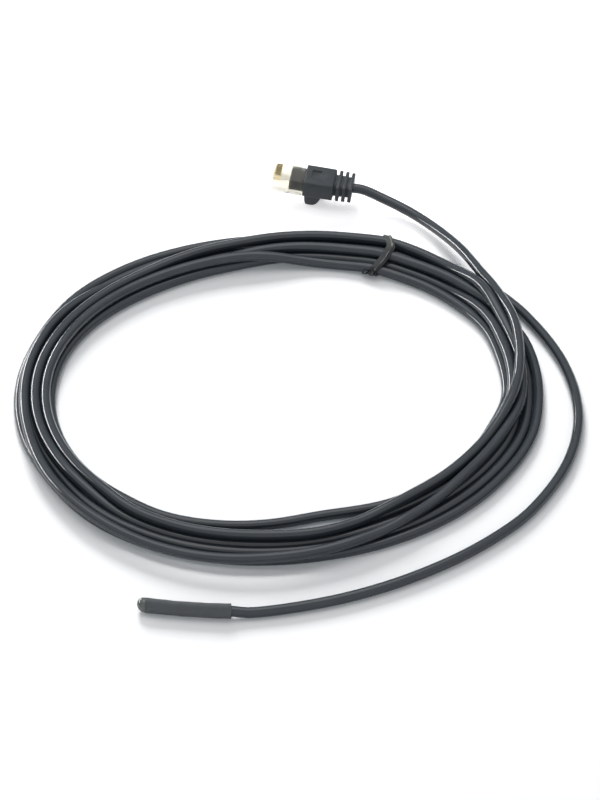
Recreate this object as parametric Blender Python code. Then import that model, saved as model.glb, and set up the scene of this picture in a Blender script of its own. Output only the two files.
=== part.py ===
"""Rack temperature sensor: a thermistor probe on about 4 m of thin round lead, wound into a loose
coil that a twist tie holds, with a clear 8-position modular plug in a snagless boot on its far end.

Metres, +Z up. The probe lies along X with its tip at -X. The origin is on the floor, under the
middle of the probe. The coil and the plug lie on the same floor, on the +Y side.
"""

import math

import bmesh
import bpy
from mathutils import Matrix, Vector

# Clearances between pieces that touch on the real sensor
GAP = 0.0003
CORE_GAP = 0.0002
CONTACT_GAP = 0.00012

# Lead
CABLE_DIAMETER = 0.0037
ROUTE_SPACING = 0.00814
CORE_DIAMETER = 0.0008
CORE_PITCH = 0.00102

# Probe: sleeve, resin tip and what they hold, from the tip at -X to the lead at +X
PROBE_LENGTH = 0.0313
SLEEVE_WALL = 0.0004
SLEEVE_BEND = 0.0027
SLEEVE_BEND_BELOW = 0.43
TIP_DOME_LENGTH = 0.0024
TIP_STEM_LENGTH = 0.0062
BEAD_DIAMETER = 0.0022
BEAD_LENGTH = 0.0036
BEAD_DEPTH = 0.0008
BEAD_LEAD_DIAMETER = 0.0003
BEAD_LEAD_LENGTH = 0.0072
SPLICE_WALL = 0.0002
SPLICE_LENGTH = 0.0080
SPLICE_OVERLAP = 0.0030
PROBE_CORE_LENGTH = 0.0085
ROUND_SIDES = 24
SMALL_SIDES = 12

# Coil
COIL_CENTRE = Vector((0.0318, 0.1129, 0.0))
COIL_RADIUS = 0.0846
LOWER_TURNS = 5
# Where the upper turns lie, in turns from the bundle's middle
UPPER_PLACES = (-0.5, 1.5)
# The loose coil isn't round: by angle, how far the bundle's middle lies outside the coil's radius, and
# how much wider each of its halves is than packed turns
BUNDLE_SHAPE = (
    (0, 0.0005, -0.0018), (15, 0.0024, -0.0020), (30, 0.0045, -0.0026), (45, 0.0054, -0.0020),
    (59, 0.0052, -0.0017), (62, 0.0067, -0.0001), (68, 0.0066, 0.0), (75, 0.0050, 0.0), (90, 0.0032, -0.0002),
    (120, 0.0023, 0.0003), (150, 0.0022, -0.0012), (180, 0.0014, -0.0020), (210, 0.0008, -0.0010),
    (225, 0.0006, 0.0004), (240, 0.0003, 0.0016), (255, -0.0017, 0.0031), (270, -0.0051, 0.0035),
    (285, -0.0079, 0.0023), (300, -0.0072, 0.0013), (330, -0.0042, -0.0001), (345, -0.0021, -0.0002),
)
# The angle where the probe's lead joins the bundle
JOIN_ANGLE = 59.0
TURN_SPACING = 0.0001
COIL_STATIONS = 72
STATION_MARGIN = 1.0
VALLEY_ANGLE = 30
ARC_STEP = 30

# Twist tie round the coil, and the angle about the coil's centre where it sits
TIE_ANGLE = 66.0
TIE_WIDTH = 0.0030
TIE_THICKNESS = 0.0005
TIE_RAMP = 0.0020
TAIL_LENGTH = 0.0070
TAIL_WIDTH = 0.0016
TAIL_THICKNESS = 0.0009
TAIL_TWIST = 540.0
TAIL_STEPS = 14
TAIL_SETTLE = 3

# Plug moulding: x runs from the nose to the lead, z up from its underside to the contacts
BODY_LENGTH = 0.0123
BODY_WIDTH = 0.01168
BODY_HEIGHT = 0.0066
BODY_CORNER = 0.0004
NOSE_CHAMFER = 0.0005
BODY_WALL = 0.0009
CAVITY_DEPTH = 0.0062
CHANNEL_FLOOR = 0.0023
CHANNEL_HEIGHT = 0.0012
CHANNEL_NOSE = 0.0012

# Contacts
CONTACT_COUNT = 8
CONTACT_PITCH = 0.001016
CONTACT_THICKNESS = 0.00035
CONTACT_START = 0.0011
CONTACT_LENGTH = 0.0024
CONTACT_RECESS = 0.0004
CONTACT_HEIGHT = 0.0022
CONTACT_ROUND = 0.0007
SPIKE_WIDTH = 0.0005

# Latch lever under the plug
LATCH_ROOT = 0.0008
LATCH_ROOT_LENGTH = 0.0018
LATCH_ROOT_FRONT = 0.00054
LATCH_ROOT_BACK = 0.00108
LATCH_TOP_DROP = 0.00036
LATCH_REACH = 0.0163
LATCH_DROP = 0.0024
LATCH_THICKNESS = 0.0009
LATCH_WIDTH = 0.0032
SHOULDER_START = 0.0062
SHOULDER_LENGTH = 0.0016
SHOULDER_WIDTH = 0.0060
SHOULDER_HEIGHT = 0.00072
SHOULDER_STEP = 0.00009

# Boot
BLOCK_LENGTH = 0.0112
BLOCK_WIDTH = 0.0120
BLOCK_HEIGHT = 0.0066
BLOCK_CORNER = 0.0008
TONGUE_LENGTH = 0.0054
RIB_COUNT = 3
RIB_THICKNESS = 0.0012
RIB_PITCH = 0.0023
RIB_WIDTH = 0.0120
RIB_HEIGHT = 0.0064
RIB_TAPER = 0.0002
NECK_WIDTH = 0.0070
NECK_HEIGHT = 0.0048
NECK_CORNER = 0.00212
JACKET_STOP = 0.0010
PASSAGE_MARGIN = 0.0003
HOOD_DEPTH = 0.0045
HOOD_WIDTH = 0.0080
HOOD_WALL = 0.0009
HOOD_SET_BACK = 0.0003
HOOD_SLANT = 0.0008
HOOD_FLAT = 0.0036
HOOD_TAIL = 0.0022

# How the plug lies: where the lead leaves the boot, turned about Z and nose up
LEAD_EXIT = Vector((0.0589, 0.2338))
PLUG_TURN = math.radians(-9.0)
PLUG_PITCH = math.radians(5.0)

# Values that follow from those above
CABLE_RADIUS = CABLE_DIAMETER / 2
SLEEVE_BORE = CABLE_RADIUS + GAP
SLEEVE_RADIUS = SLEEVE_BORE + SLEEVE_WALL
PROBE_START = -PROBE_LENGTH / 2
PROBE_END = PROBE_LENGTH / 2
SLEEVE_START = PROBE_START + TIP_DOME_LENGTH + GAP
SPLICE_BORE = CORE_DIAMETER / 2 + CORE_GAP
SPLICE_RADIUS = SPLICE_BORE + SPLICE_WALL
WIRE_OFFSET = SPLICE_RADIUS + GAP / 2
BEAD_START = SLEEVE_START + BEAD_DEPTH
BEAD_END = BEAD_START + BEAD_LENGTH
BEAD_LEAD_START = BEAD_END + CORE_GAP
BEAD_LEAD_END = BEAD_LEAD_START + BEAD_LEAD_LENGTH
PROBE_CORE_START = BEAD_LEAD_END + GAP
PROBE_CORE_END = PROBE_CORE_START + PROBE_CORE_LENGTH
JACKET_START = PROBE_CORE_END + GAP
SPLICE_START = PROBE_CORE_START - SPLICE_OVERLAP
TURN_PITCH = CABLE_DIAMETER + TURN_SPACING
LAYER_RISE = math.sqrt(TURN_PITCH ** 2 - (TURN_PITCH / 2) ** 2)
COIL_HEIGHT = CABLE_DIAMETER + LAYER_RISE
COIL_HALF_WIDTH = (LOWER_TURNS - 1) / 2 * TURN_PITCH + CABLE_RADIUS
LEAD_OVER_COIL = COIL_HEIGHT + GAP + CABLE_RADIUS
BODY_MIDDLE = BODY_HEIGHT / 2
BLOCK_START = BODY_LENGTH + GAP
BLOCK_END = BLOCK_START + BLOCK_LENGTH
BOOT_END = BLOCK_END + RIB_COUNT * RIB_PITCH
TONGUE_START = BLOCK_START - TONGUE_LENGTH
TONGUE_WIDTH = BODY_WIDTH - 2 * (BODY_WALL + GAP)
TONGUE_HEIGHT = BODY_HEIGHT - 2 * (BODY_WALL + GAP)
BOOT_BORE = CABLE_RADIUS + GAP
PLUG_JACKET_START = BLOCK_START + JACKET_STOP
PLUG_CORE_HEIGHT = CHANNEL_FLOOR + CORE_GAP + CORE_DIAMETER / 2
LATCH_TIP_BOTTOM = -LATCH_THICKNESS - LATCH_DROP


# Materials and small builders

def clear_scene():
    for item in list(bpy.data.objects):
        bpy.data.objects.remove(item, do_unlink=True)


def material(name, colour, roughness, metallic=0.0, alpha=1.0):
    made = bpy.data.materials.new(name)
    made.use_nodes = True
    shader = made.node_tree.nodes["Principled BSDF"]
    shader.inputs["Base Color"].default_value = (*colour, 1.0)
    shader.inputs["Roughness"].default_value = roughness
    shader.inputs["Metallic"].default_value = metallic
    shader.inputs["Alpha"].default_value = alpha
    return made


def add_object(name, data, finish, parent=None):
    made = bpy.data.objects.new(name, data)
    bpy.context.scene.collection.objects.link(made)
    made.parent = parent
    if finish is not None:
        data.materials.append(finish)
    return made


def mesh_object(name, points, faces, finish, parent=None):
    """A closed mesh from points and faces, with doubled points merged and faces turned outwards."""
    shape = bmesh.new()
    corners = [shape.verts.new(point) for point in points]
    for face in faces:
        shape.faces.new([corners[index] for index in face])
    bmesh.ops.remove_doubles(shape, verts=shape.verts, dist=1e-7)
    bmesh.ops.dissolve_degenerate(shape, edges=shape.edges, dist=1e-7)
    bmesh.ops.recalc_face_normals(shape, faces=shape.faces)
    data = bpy.data.meshes.new(name)
    shape.to_mesh(data)
    shape.free()
    data.shade_smooth()
    data.set_sharp_from_angle(angle=math.radians(35))
    return add_object(name, data, finish, parent)


def lofted(name, rings, finish, parent=None, closed=False):
    """Skin over a row of rings with equal counts, with flat ends, or closed into a loop."""
    count = len(rings[0])
    points = [point for ring in rings for point in ring]
    faces = []
    spans = len(rings) if closed else len(rings) - 1
    for row in range(spans):
        below = row * count
        above = (row + 1) % len(rings) * count
        for step in range(count):
            after = (step + 1) % count
            faces.append((below + step, below + after, above + after, above + step))
    if not closed:
        faces.append(tuple(range(count)))
        faces.append(tuple(range(len(points) - count, len(points))))
    return mesh_object(name, points, faces, finish, parent)


def turned(name, profile, finish, place, sides, parent=None):
    """A closed (x, radius) profile turned round an X axis; place puts a point of it in space."""
    rings = []
    for x, radius in profile:
        ring = []
        for step in range(sides):
            angle = 2 * math.pi * step / sides
            ring.append(place(x, radius * math.cos(angle), radius * math.sin(angle)))
        rings.append(ring)
    return lofted(name, rings, finish, parent, closed=True)


def extruded(name, outline, half_width, finish, parent, middle=0.0):
    """An (x, z) outline given a width along Y."""
    rings = [[Vector((x, middle + side * half_width, z)) for x, z in outline] for side in (-1, 1)]
    return lofted(name, rings, finish, parent)


def rounded_section(x, width, height, middle, corner, steps=3):
    """A ring at x: a rectangle in Y and Z, its corners rounded as far as its sides allow."""
    corner = min(corner, width / 2, height / 2)
    ring = []
    for quarter, (side, level) in enumerate(((1, 1), (-1, 1), (-1, -1), (1, -1))):
        across = side * (width / 2 - corner)
        up = middle + level * (height / 2 - corner)
        for step in range(steps + 1):
            angle = math.pi / 2 * (quarter + step / steps)
            ring.append(Vector((x, across + corner * math.cos(angle), up + corner * math.sin(angle))))
    return ring


def cylinder_rings(start, end, radius, middle, sides):
    rings = []
    for x in (start, end):
        ring = []
        for step in range(sides):
            angle = 2 * math.pi * step / sides
            ring.append(Vector((x, radius * math.cos(angle), middle + radius * math.sin(angle))))
        rings.append(ring)
    return rings


def combine(target, tool, operation):
    """Cut a guide shape out of a piece, or fuse it to the piece."""
    step = target.modifiers.new(tool.name, "BOOLEAN")
    step.operation = operation
    step.solver = "EXACT"
    step.object = tool
    tool.hide_render = True
    tool.display_type = "WIRE"


def tube(name, points, diameter, finish, parent=None, resolution=2):
    """A round wire or lead along a row of points, with closed ends."""
    data = bpy.data.curves.new(name, "CURVE")
    data.dimensions = "3D"
    data.bevel_depth = diameter / 2
    data.bevel_resolution = resolution
    data.use_fill_caps = True
    spline = data.splines.new("POLY")
    spline.points.add(len(points) - 1)
    for slot, point in zip(spline.points, points):
        slot.co = (*point, 1.0)
    return add_object(name, data, finish, parent)


def smooth_route(points, spacing):
    """Points at an even spacing on one smooth curve through the given points."""
    padded = [2 * points[0] - points[1], *points, 2 * points[-1] - points[-2]]
    fine = []
    for index in range(1, len(padded) - 2):
        before, start, end, after = padded[index - 1:index + 3]
        for step in range(12):
            t = step / 12
            bend = (2 * before - 5 * start + 4 * end - after) * t ** 2
            twist = (3 * start - before - 3 * end + after) * t ** 3
            fine.append(start + ((end - before) * t + bend + twist) / 2)
    fine.append(points[-1].copy())
    route = [fine[0]]
    walked = 0.0
    for start, end in zip(fine, fine[1:]):
        walked += (end - start).length
        if walked >= spacing:
            route.append(end)
            walked = 0.0
    if (fine[-1] - route[-1]).length < spacing / 2:
        route.pop()
    route.append(fine[-1])
    return route


# Probe

def probe_point(x, y, z):
    """A point beside the probe's axis, which lies on the floor and bends towards +Y at the tip.
    A share of the bend is taken off, so that the bent probe's middle is over the origin.
    """
    reach = max(0.0, PROBE_END - x) / PROBE_LENGTH
    return Vector((x, y + SLEEVE_BEND * (reach ** 2 - SLEEVE_BEND_BELOW), z + SLEEVE_RADIUS))


def stretch(start, end, steps):
    return [start + (end - start) * step / steps for step in range(steps + 1)]


def make_sleeve(finish):
    lip = SLEEVE_WALL / 2
    outside = [(SLEEVE_START, SLEEVE_RADIUS - lip), (SLEEVE_START + lip, SLEEVE_RADIUS)]
    outside += [(x, SLEEVE_RADIUS) for x in stretch(SLEEVE_START + lip, PROBE_END, 8)[1:]]
    inside = [(x, SLEEVE_BORE) for x in stretch(PROBE_END, SLEEVE_START, 8)]
    turned("probe_sleeve", outside + inside, finish, probe_point, ROUND_SIDES)


def make_tip_seal(finish):
    stem_radius = SLEEVE_BORE - GAP
    pocket_radius = BEAD_DIAMETER / 2 + CORE_GAP
    stem_end = SLEEVE_START + TIP_STEM_LENGTH
    pocket_start = BEAD_START - CORE_GAP
    dome_end = PROBE_START + TIP_DOME_LENGTH
    profile = []
    for step in range(7):
        angle = math.pi / 2 * step / 6
        x = dome_end - TIP_DOME_LENGTH * math.cos(angle)
        profile.append((x, SLEEVE_RADIUS * math.sin(angle)))
    profile.append((dome_end, stem_radius))
    profile.append(((dome_end + stem_end) / 2, stem_radius))
    profile.append((stem_end, stem_radius))
    profile.append((stem_end, pocket_radius))
    profile.append((pocket_start, pocket_radius))
    profile.append((pocket_start, 0.0))
    turned("tip_seal", profile, finish, probe_point, ROUND_SIDES)


def make_bead(finish):
    profile = []
    for step in range(9):
        angle = math.pi * step / 8
        x = BEAD_START + BEAD_LENGTH * (1 - math.cos(angle)) / 2
        profile.append((x, BEAD_DIAMETER / 2 * math.sin(angle)))
    turned("thermistor_bead", profile, finish, probe_point, 16)


def make_probe_wiring(tinned, splice, insulation):
    for letter, side in (("a", -1), ("b", 1)):
        offset = side * WIRE_OFFSET
        near = side * BEAD_DIAMETER / 5
        wire_x = stretch(BEAD_LEAD_START, BEAD_LEAD_END, 6)
        spread = [near, near + (offset - near) / 2] + [offset] * 5
        wire = [probe_point(x, across, 0.0) for x, across in zip(wire_x, spread)]
        tube("bead_lead_" + letter, wire, BEAD_LEAD_DIAMETER, tinned)
        core = [probe_point(x, offset, 0.0) for x in stretch(PROBE_CORE_START, PROBE_CORE_END, 5)]
        tube("probe_core_" + letter, core, CORE_DIAMETER, insulation[letter])
        outside = [(x, SPLICE_RADIUS) for x in stretch(SPLICE_START, SPLICE_START + SPLICE_LENGTH, 4)]
        inside = [(x, SPLICE_BORE) for x, _ in reversed(outside)]
        turned("splice_sleeve_" + letter, outside + inside, splice,
               lambda x, y, z, shift=offset: probe_point(x, y + shift, z), SMALL_SIDES)


# Coil, its tie and the two leads

def coil_point(angle, radius, height, along=0.0):
    """A point by its angle about the coil's centre, in degrees; along runs on the tangent."""
    turn = math.radians(angle)
    out = Vector((math.cos(turn), math.sin(turn), 0.0))
    tangent = Vector((-math.sin(turn), math.cos(turn), 0.0))
    return COIL_CENTRE + radius * out + along * tangent + Vector((0.0, 0.0, height))


def lower_turn(index):
    """Radius and height of the middle of a turn on the floor."""
    return COIL_RADIUS + (index - (LOWER_TURNS - 1) / 2) * TURN_PITCH, CABLE_RADIUS


def upper_turn(index):
    """Radius and height of the middle of a turn that lies in the valleys of those below."""
    return COIL_RADIUS + UPPER_PLACES[index] * TURN_PITCH, CABLE_RADIUS + LAYER_RISE


def bundle_shape(angle):
    """Shift and spread of the bundle at an angle, on a smooth curve through the named places."""
    rows = [(place - 360, shift, spread) for place, shift, spread in BUNDLE_SHAPE[-2:]]
    rows += list(BUNDLE_SHAPE)
    rows += [(place + 360, shift, spread) for place, shift, spread in BUNDLE_SHAPE[:2]]
    at = angle % 360
    index = max(number for number in range(1, len(rows) - 2) if rows[number][0] <= at)
    before, start, end, after = rows[index - 1:index + 3]
    width = end[0] - start[0]
    t = (at - start[0]) / width
    values = []
    for part in (1, 2):
        leaving = (end[part] - before[part]) / (end[0] - before[0]) * width
        arriving = (after[part] - start[part]) / (after[0] - start[0]) * width
        values.append((2 * t ** 3 - 3 * t ** 2 + 1) * start[part] + (t ** 3 - 2 * t ** 2 + t) * leaving
                      + (3 * t ** 2 - 2 * t ** 3) * end[part] + (t ** 3 - t ** 2) * arriving)
    return values


def bundle_edge(angle, side, depth=0.0):
    """Radius of the bundle's outer side (1) or inner side (-1) at an angle."""
    shift, spread = bundle_shape(angle)
    return COIL_RADIUS + shift + side * (COIL_HALF_WIDTH + spread - depth)


def arc_round(middle, start, end):
    radius, height = middle
    steps = round((end - start) / ARC_STEP)
    points = []
    for step in range(steps + 1):
        angle = math.radians(start + (end - start) * step / steps)
        points.append((radius + CABLE_RADIUS * math.cos(angle), height + CABLE_RADIUS * math.sin(angle)))
    return points


def coil_outline():
    """The outline of the packed turns in radius and height, anticlockwise from the inner side."""
    low = 180 + VALLEY_ANGLE
    high = 360 - VALLEY_ANGLE
    outline = arc_round(lower_turn(0), 90 + VALLEY_ANGLE, high)
    for index in range(1, LOWER_TURNS - 1):
        outline += arc_round(lower_turn(index), low, high)
    outline += arc_round(lower_turn(LOWER_TURNS - 1), low, 450 - VALLEY_ANGLE)
    outline += arc_round(upper_turn(1), 0, 180)
    outline += arc_round(upper_turn(0), 0, 180)
    return outline


def at_angle(angle, point, depth=0.0):
    """Radius and height of a point of the packed outline, spread, shifted and drawn in as at the angle."""
    radius, height = point
    shift, spread = bundle_shape(angle)
    across = (radius - COIL_RADIUS) * (1 + (spread - depth) / COIL_HALF_WIDTH)
    middle = COIL_HEIGHT / 2
    height = middle + (height - middle) * (1 - depth / middle)
    return COIL_RADIUS + shift + across, height


def make_coil(finish):
    waist_half = math.degrees((TIE_WIDTH / 2 + GAP) / COIL_RADIUS)
    ramp_half = math.degrees((TIE_WIDTH / 2 + GAP + TIE_RAMP) / COIL_RADIUS)
    waist = TIE_THICKNESS + GAP
    stations = [(JOIN_ANGLE, 0.0)]
    for step in range(COIL_STATIONS):
        angle = 360 * step / COIL_STATIONS
        clear_of_tie = abs(angle - TIE_ANGLE) > ramp_half + STATION_MARGIN
        if clear_of_tie and abs(angle - JOIN_ANGLE) > STATION_MARGIN:
            stations.append((angle, 0.0))
    for side in (-1, 1):
        stations.append((TIE_ANGLE + side * waist_half, waist))
        stations.append((TIE_ANGLE + side * ramp_half, 0.0))
    rings = []
    for angle, depth in sorted(stations):
        shaped_at = TIE_ANGLE if depth else angle
        ring = [at_angle(shaped_at, point, depth) for point in coil_outline()]
        rings.append([coil_point(angle, radius, height) for radius, height in ring])
    lofted("cable_coil", rings, finish, closed=True)


def bridging(lower, upper):
    """The angle at which the tie leaves a lower turn for an upper one, up from level."""
    return math.degrees(math.atan2(abs(lower[0] - upper[0]), upper[1] - lower[1]))


def make_tie(finish):
    inner = bridging(lower_turn(0), upper_turn(0))
    outer = bridging(lower_turn(LOWER_TURNS - 1), upper_turn(1))
    path = []
    for middle, start, end in (
        (lower_turn(0), 180 - inner, 270),
        (lower_turn(LOWER_TURNS - 1), 270, 360 + outer),
        (upper_turn(1), outer, 90),
        (upper_turn(0), 90, 180 - inner),
    ):
        path += arc_round(middle, start, end)
    rings = []
    for point in path:
        ring = []
        for depth, side in ((0.0, -1), (0.0, 1), (TIE_THICKNESS, 1), (TIE_THICKNESS, -1)):
            radius, height = at_angle(TIE_ANGLE, point, depth)
            ring.append(coil_point(TIE_ANGLE, radius, height, side * TIE_WIDTH / 2))
        rings.append(ring)
    band = lofted("twist_tie", rings, finish, closed=True)
    combine(band, make_tail(), "UNION")


def make_tail():
    """The tie's two ends, twisted together and laid along the inner side of the turns."""
    rings = []
    for step in range(TAIL_STEPS + 1):
        share = step / TAIL_STEPS
        place = TIE_ANGLE + math.degrees(share * TAIL_LENGTH / COIL_RADIUS)
        inner_side = bundle_edge(place, -1)
        root = inner_side + TIE_THICKNESS / 2
        clear = inner_side - GAP - TAIL_WIDTH / 2
        settle = min(1.0, share * TAIL_SETTLE)
        radius = root + (clear - root) * settle
        angle = math.radians(TAIL_TWIST * share)
        ring = []
        for across, up in ((-1, -1), (1, -1), (1, 1), (-1, 1)):
            wide = across * TAIL_WIDTH / 2
            thick = up * TAIL_THICKNESS / 2
            out = wide * math.sin(angle) + thick * math.cos(angle)
            rise = wide * math.cos(angle) - thick * math.sin(angle)
            ring.append(coil_point(place, radius + out, CABLE_RADIUS + rise))
        rings.append(ring)
    return lofted("tie_tail_guide", rings, None)


def make_probe_lead(finish):
    """From the jacket's end in the sleeve, round the right of the coil, to lie along its outside."""
    inside = [probe_point(x, 0.0, 0.0) for x in stretch(JACKET_START, PROBE_END, 2)]
    floor = [
        (0.0213, -0.0012), (0.0331, 0.0001), (0.0451, 0.0028), (0.0571, 0.0069), (0.0692, 0.0123),
        (0.0814, 0.0192), (0.0937, 0.0276), (0.1062, 0.0384), (0.1153, 0.0483), (0.1235, 0.0610),
        (0.1299, 0.0742), (0.1340, 0.0875), (0.1360, 0.1009), (0.1360, 0.1109), (0.1349, 0.1214),
        (0.1317, 0.1353), (0.1263, 0.1493), (0.1188, 0.1637),
    ]
    route = inside + [Vector((x, y, CABLE_RADIUS)) for x, y in floor]
    for angle, clear in ((40, 0.0010), (50, 0.0), (JOIN_ANGLE, 0.0)):
        radius = bundle_edge(angle, 1) + GAP + CABLE_RADIUS + clear
        route.append(coil_point(angle, radius, CABLE_RADIUS))
    tube("probe_lead", smooth_route(route, ROUTE_SPACING), CABLE_DIAMETER, finish)


def make_plug_lead(finish, plug_frame):
    """From the jacket's end in the boot, down towards the floor, then up across the turns."""
    route = []
    for x in (PLUG_JACKET_START, (PLUG_JACKET_START + BOOT_END) / 2, BOOT_END, BOOT_END + CABLE_DIAMETER):
        route.append(plug_frame @ Vector((x, 0.0, BODY_MIDDLE)))
    for x, y, z in (
        (0.0702, 0.2302, 0.0043), (0.0759, 0.2264, 0.0036), (0.0815, 0.2215, 0.0033),
        (0.0871, 0.2148, 0.0036), (0.0927, 0.2061, 0.0046), (0.0982, 0.1951, 0.0063),
    ):
        route.append(Vector((x, y, z)))
    for angle, shift, drop in (
        (42.9, 0.0140, 0.0010), (34.0, 0.0096, 0.0), (26.2, 0.0066, 0.0), (18.8, 0.0040, 0.0),
        (11.3, 0.0018, 0.0), (4.8, -0.0003, 0.0), (-2.1, -0.0026, 0.0), (-9.7, -0.0050, 0.0),
    ):
        route.append(coil_point(angle, COIL_RADIUS + shift, LEAD_OVER_COIL - drop))
    tube("plug_lead", smooth_route(route, ROUTE_SPACING), CABLE_DIAMETER, finish)


# Plug and boot, in the plug's own frame

def place_plug():
    """An empty at the nose's lower edge, so that the hood's flat foot lies on the floor."""
    turn = Matrix.Rotation(PLUG_TURN, 4, "Z") @ Matrix.Rotation(PLUG_PITCH, 4, "Y")
    foot = turn @ Vector((BLOCK_START + HOOD_SET_BACK + HOOD_SLANT + HOOD_FLAT, 0.0, -HOOD_DEPTH))
    lead = turn @ Vector((BOOT_END, 0.0, BODY_MIDDLE))
    frame = bpy.data.objects.new("plug_frame", None)
    bpy.context.scene.collection.objects.link(frame)
    spot = Vector((LEAD_EXIT.x - lead.x, LEAD_EXIT.y - lead.y, -foot.z))
    frame.matrix_world = Matrix.Translation(spot) @ turn
    return frame


def contact_x(number):
    """Across the plug: contact 1 is nearest +Y."""
    return ((CONTACT_COUNT + 1) / 2 - number) * CONTACT_PITCH


def make_plug_body(finish, frame):
    sizes = (
        (0.0, NOSE_CHAMFER),
        (NOSE_CHAMFER, 0.0),
        (BODY_LENGTH, 0.0),
    )
    rings = []
    for x, inset in sizes:
        width = BODY_WIDTH - 2 * inset
        height = BODY_HEIGHT - 2 * inset
        rings.append(rounded_section(x, width, height, BODY_MIDDLE, BODY_CORNER))
    body = lofted("plug_body", rings, finish, frame)
    lever = extruded("latch_guide", latch_outline(), LATCH_WIDTH / 2, None, frame)
    combine(body, lever, "UNION")
    combine(body, make_shoulders(frame), "UNION")
    reach = CONTACT_GAP + BODY_LENGTH
    low = BODY_WALL
    high = BODY_HEIGHT - BODY_WALL
    start = BODY_LENGTH - CAVITY_DEPTH
    cavity = extruded("cavity_guide", [(start, low), (reach, low), (reach, high), (start, high)],
                      BODY_WIDTH / 2 - BODY_WALL, None, frame)
    combine(body, cavity, "DIFFERENCE")
    top = CHANNEL_FLOOR + CHANNEL_HEIGHT
    inner = start + CONTACT_GAP
    channel = extruded("channel_guide",
                       [(CHANNEL_NOSE, CHANNEL_FLOOR), (inner, CHANNEL_FLOOR), (inner, top), (CHANNEL_NOSE, top)],
                       CONTACT_COUNT * CONTACT_PITCH / 2, None, frame)
    combine(body, channel, "DIFFERENCE")
    combine(body, make_slots(frame), "DIFFERENCE")


def latch_outline():
    """The lever's side view: a root under the nose, then a blade that slopes down to its tip."""
    root_end = LATCH_ROOT + LATCH_ROOT_LENGTH
    sunk = BODY_WALL / 2
    return [
        (LATCH_ROOT, sunk),
        (LATCH_ROOT, -LATCH_ROOT_FRONT),
        (root_end, -LATCH_ROOT_BACK),
        (LATCH_REACH, LATCH_TIP_BOTTOM),
        (LATCH_REACH, LATCH_TIP_BOTTOM + LATCH_THICKNESS),
        (root_end + LATCH_THICKNESS, -LATCH_TOP_DROP),
        (root_end, sunk),
    ]


def make_shoulders(frame):
    """The two stops that catch behind the jack's tongue, as one bar across the lever."""
    slope = (LATCH_TIP_BOTTOM + LATCH_ROOT_BACK) / (LATCH_REACH - LATCH_ROOT - LATCH_ROOT_LENGTH)
    ends = []
    for x in (SHOULDER_START, SHOULDER_START + SHOULDER_LENGTH):
        blade = -LATCH_ROOT_BACK + slope * (x - LATCH_ROOT - LATCH_ROOT_LENGTH)
        ends.append((x, blade + SHOULDER_STEP))
    top = SHOULDER_HEIGHT - SHOULDER_STEP
    outline = ends + [(x, z + top) for x, z in reversed(ends)]
    return extruded("shoulder_guide", outline, SHOULDER_WIDTH / 2, None, frame)


def make_slots(frame):
    """Eight slots, open at the top and at the nose, that drop to the wire channel."""
    start = CONTACT_START - CONTACT_GAP
    end = CONTACT_START + CONTACT_LENGTH + CONTACT_GAP
    shelf = BODY_HEIGHT - CONTACT_RECESS - CONTACT_HEIGHT / 2
    bottom = CHANNEL_FLOOR + CHANNEL_HEIGHT - CONTACT_GAP
    above = BODY_HEIGHT + GAP
    outline = [(-GAP, shelf), (start, shelf), (start, bottom), (end, bottom), (end, above), (-GAP, above)]
    half = CONTACT_THICKNESS / 2 + CONTACT_GAP
    points = []
    faces = []
    count = len(outline)
    for number in range(1, CONTACT_COUNT + 1):
        first = len(points)
        for side in (-1, 1):
            points += [Vector((x, contact_x(number) + side * half, z)) for x, z in outline]
        faces.append(tuple(range(first, first + count)))
        faces.append(tuple(range(first + count, first + 2 * count)))
        for step in range(count):
            after = (step + 1) % count
            faces.append((first + step, first + after, first + count + after, first + count + step))
    return mesh_object("slot_guide", points, faces, None, frame)


def contact_outline():
    """A blade's side view: rounded at the nose, with two spikes down towards its core."""
    top = BODY_HEIGHT - CONTACT_RECESS
    low = top - CONTACT_HEIGHT
    tip = PLUG_CORE_HEIGHT + CORE_DIAMETER / 2 + CORE_GAP
    front = CONTACT_START
    back = CONTACT_START + CONTACT_LENGTH
    outline = []
    for step in range(5):
        angle = math.pi - math.pi / 2 * step / 4
        x = front + CONTACT_ROUND * (1 + math.cos(angle))
        outline.append((x, top - CONTACT_ROUND * (1 - math.sin(angle))))
    outline.append((back, top))
    outline.append((back, low))
    outline.append((back - SPIKE_WIDTH / 2, tip))
    outline.append((back - SPIKE_WIDTH, low))
    outline.append((front + SPIKE_WIDTH, low))
    outline.append((front + SPIKE_WIDTH / 2, tip))
    outline.append((front, low))
    return outline


def make_contacts(finish, frame):
    for number in range(1, CONTACT_COUNT + 1):
        extruded(f"contact_{number}", contact_outline(), CONTACT_THICKNESS / 2, finish, frame, contact_x(number))


def make_plug_cores(insulation, frame):
    start = PLUG_JACKET_START - GAP
    front = CONTACT_START + CORE_DIAMETER / 4
    for letter, side in (("a", 1), ("b", -1)):
        across = side * CORE_PITCH / 2
        points = [
            Vector((start, across, BODY_MIDDLE)),
            Vector((TONGUE_START, across, BODY_MIDDLE)),
            Vector((BODY_LENGTH - CAVITY_DEPTH, across, PLUG_CORE_HEIGHT + CORE_GAP / 4)),
            Vector((CONTACT_START + CONTACT_LENGTH, across, PLUG_CORE_HEIGHT)),
            Vector((front, across, PLUG_CORE_HEIGHT)),
        ]
        tube("plug_core_" + letter, points, CORE_DIAMETER, insulation[letter], frame)


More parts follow.
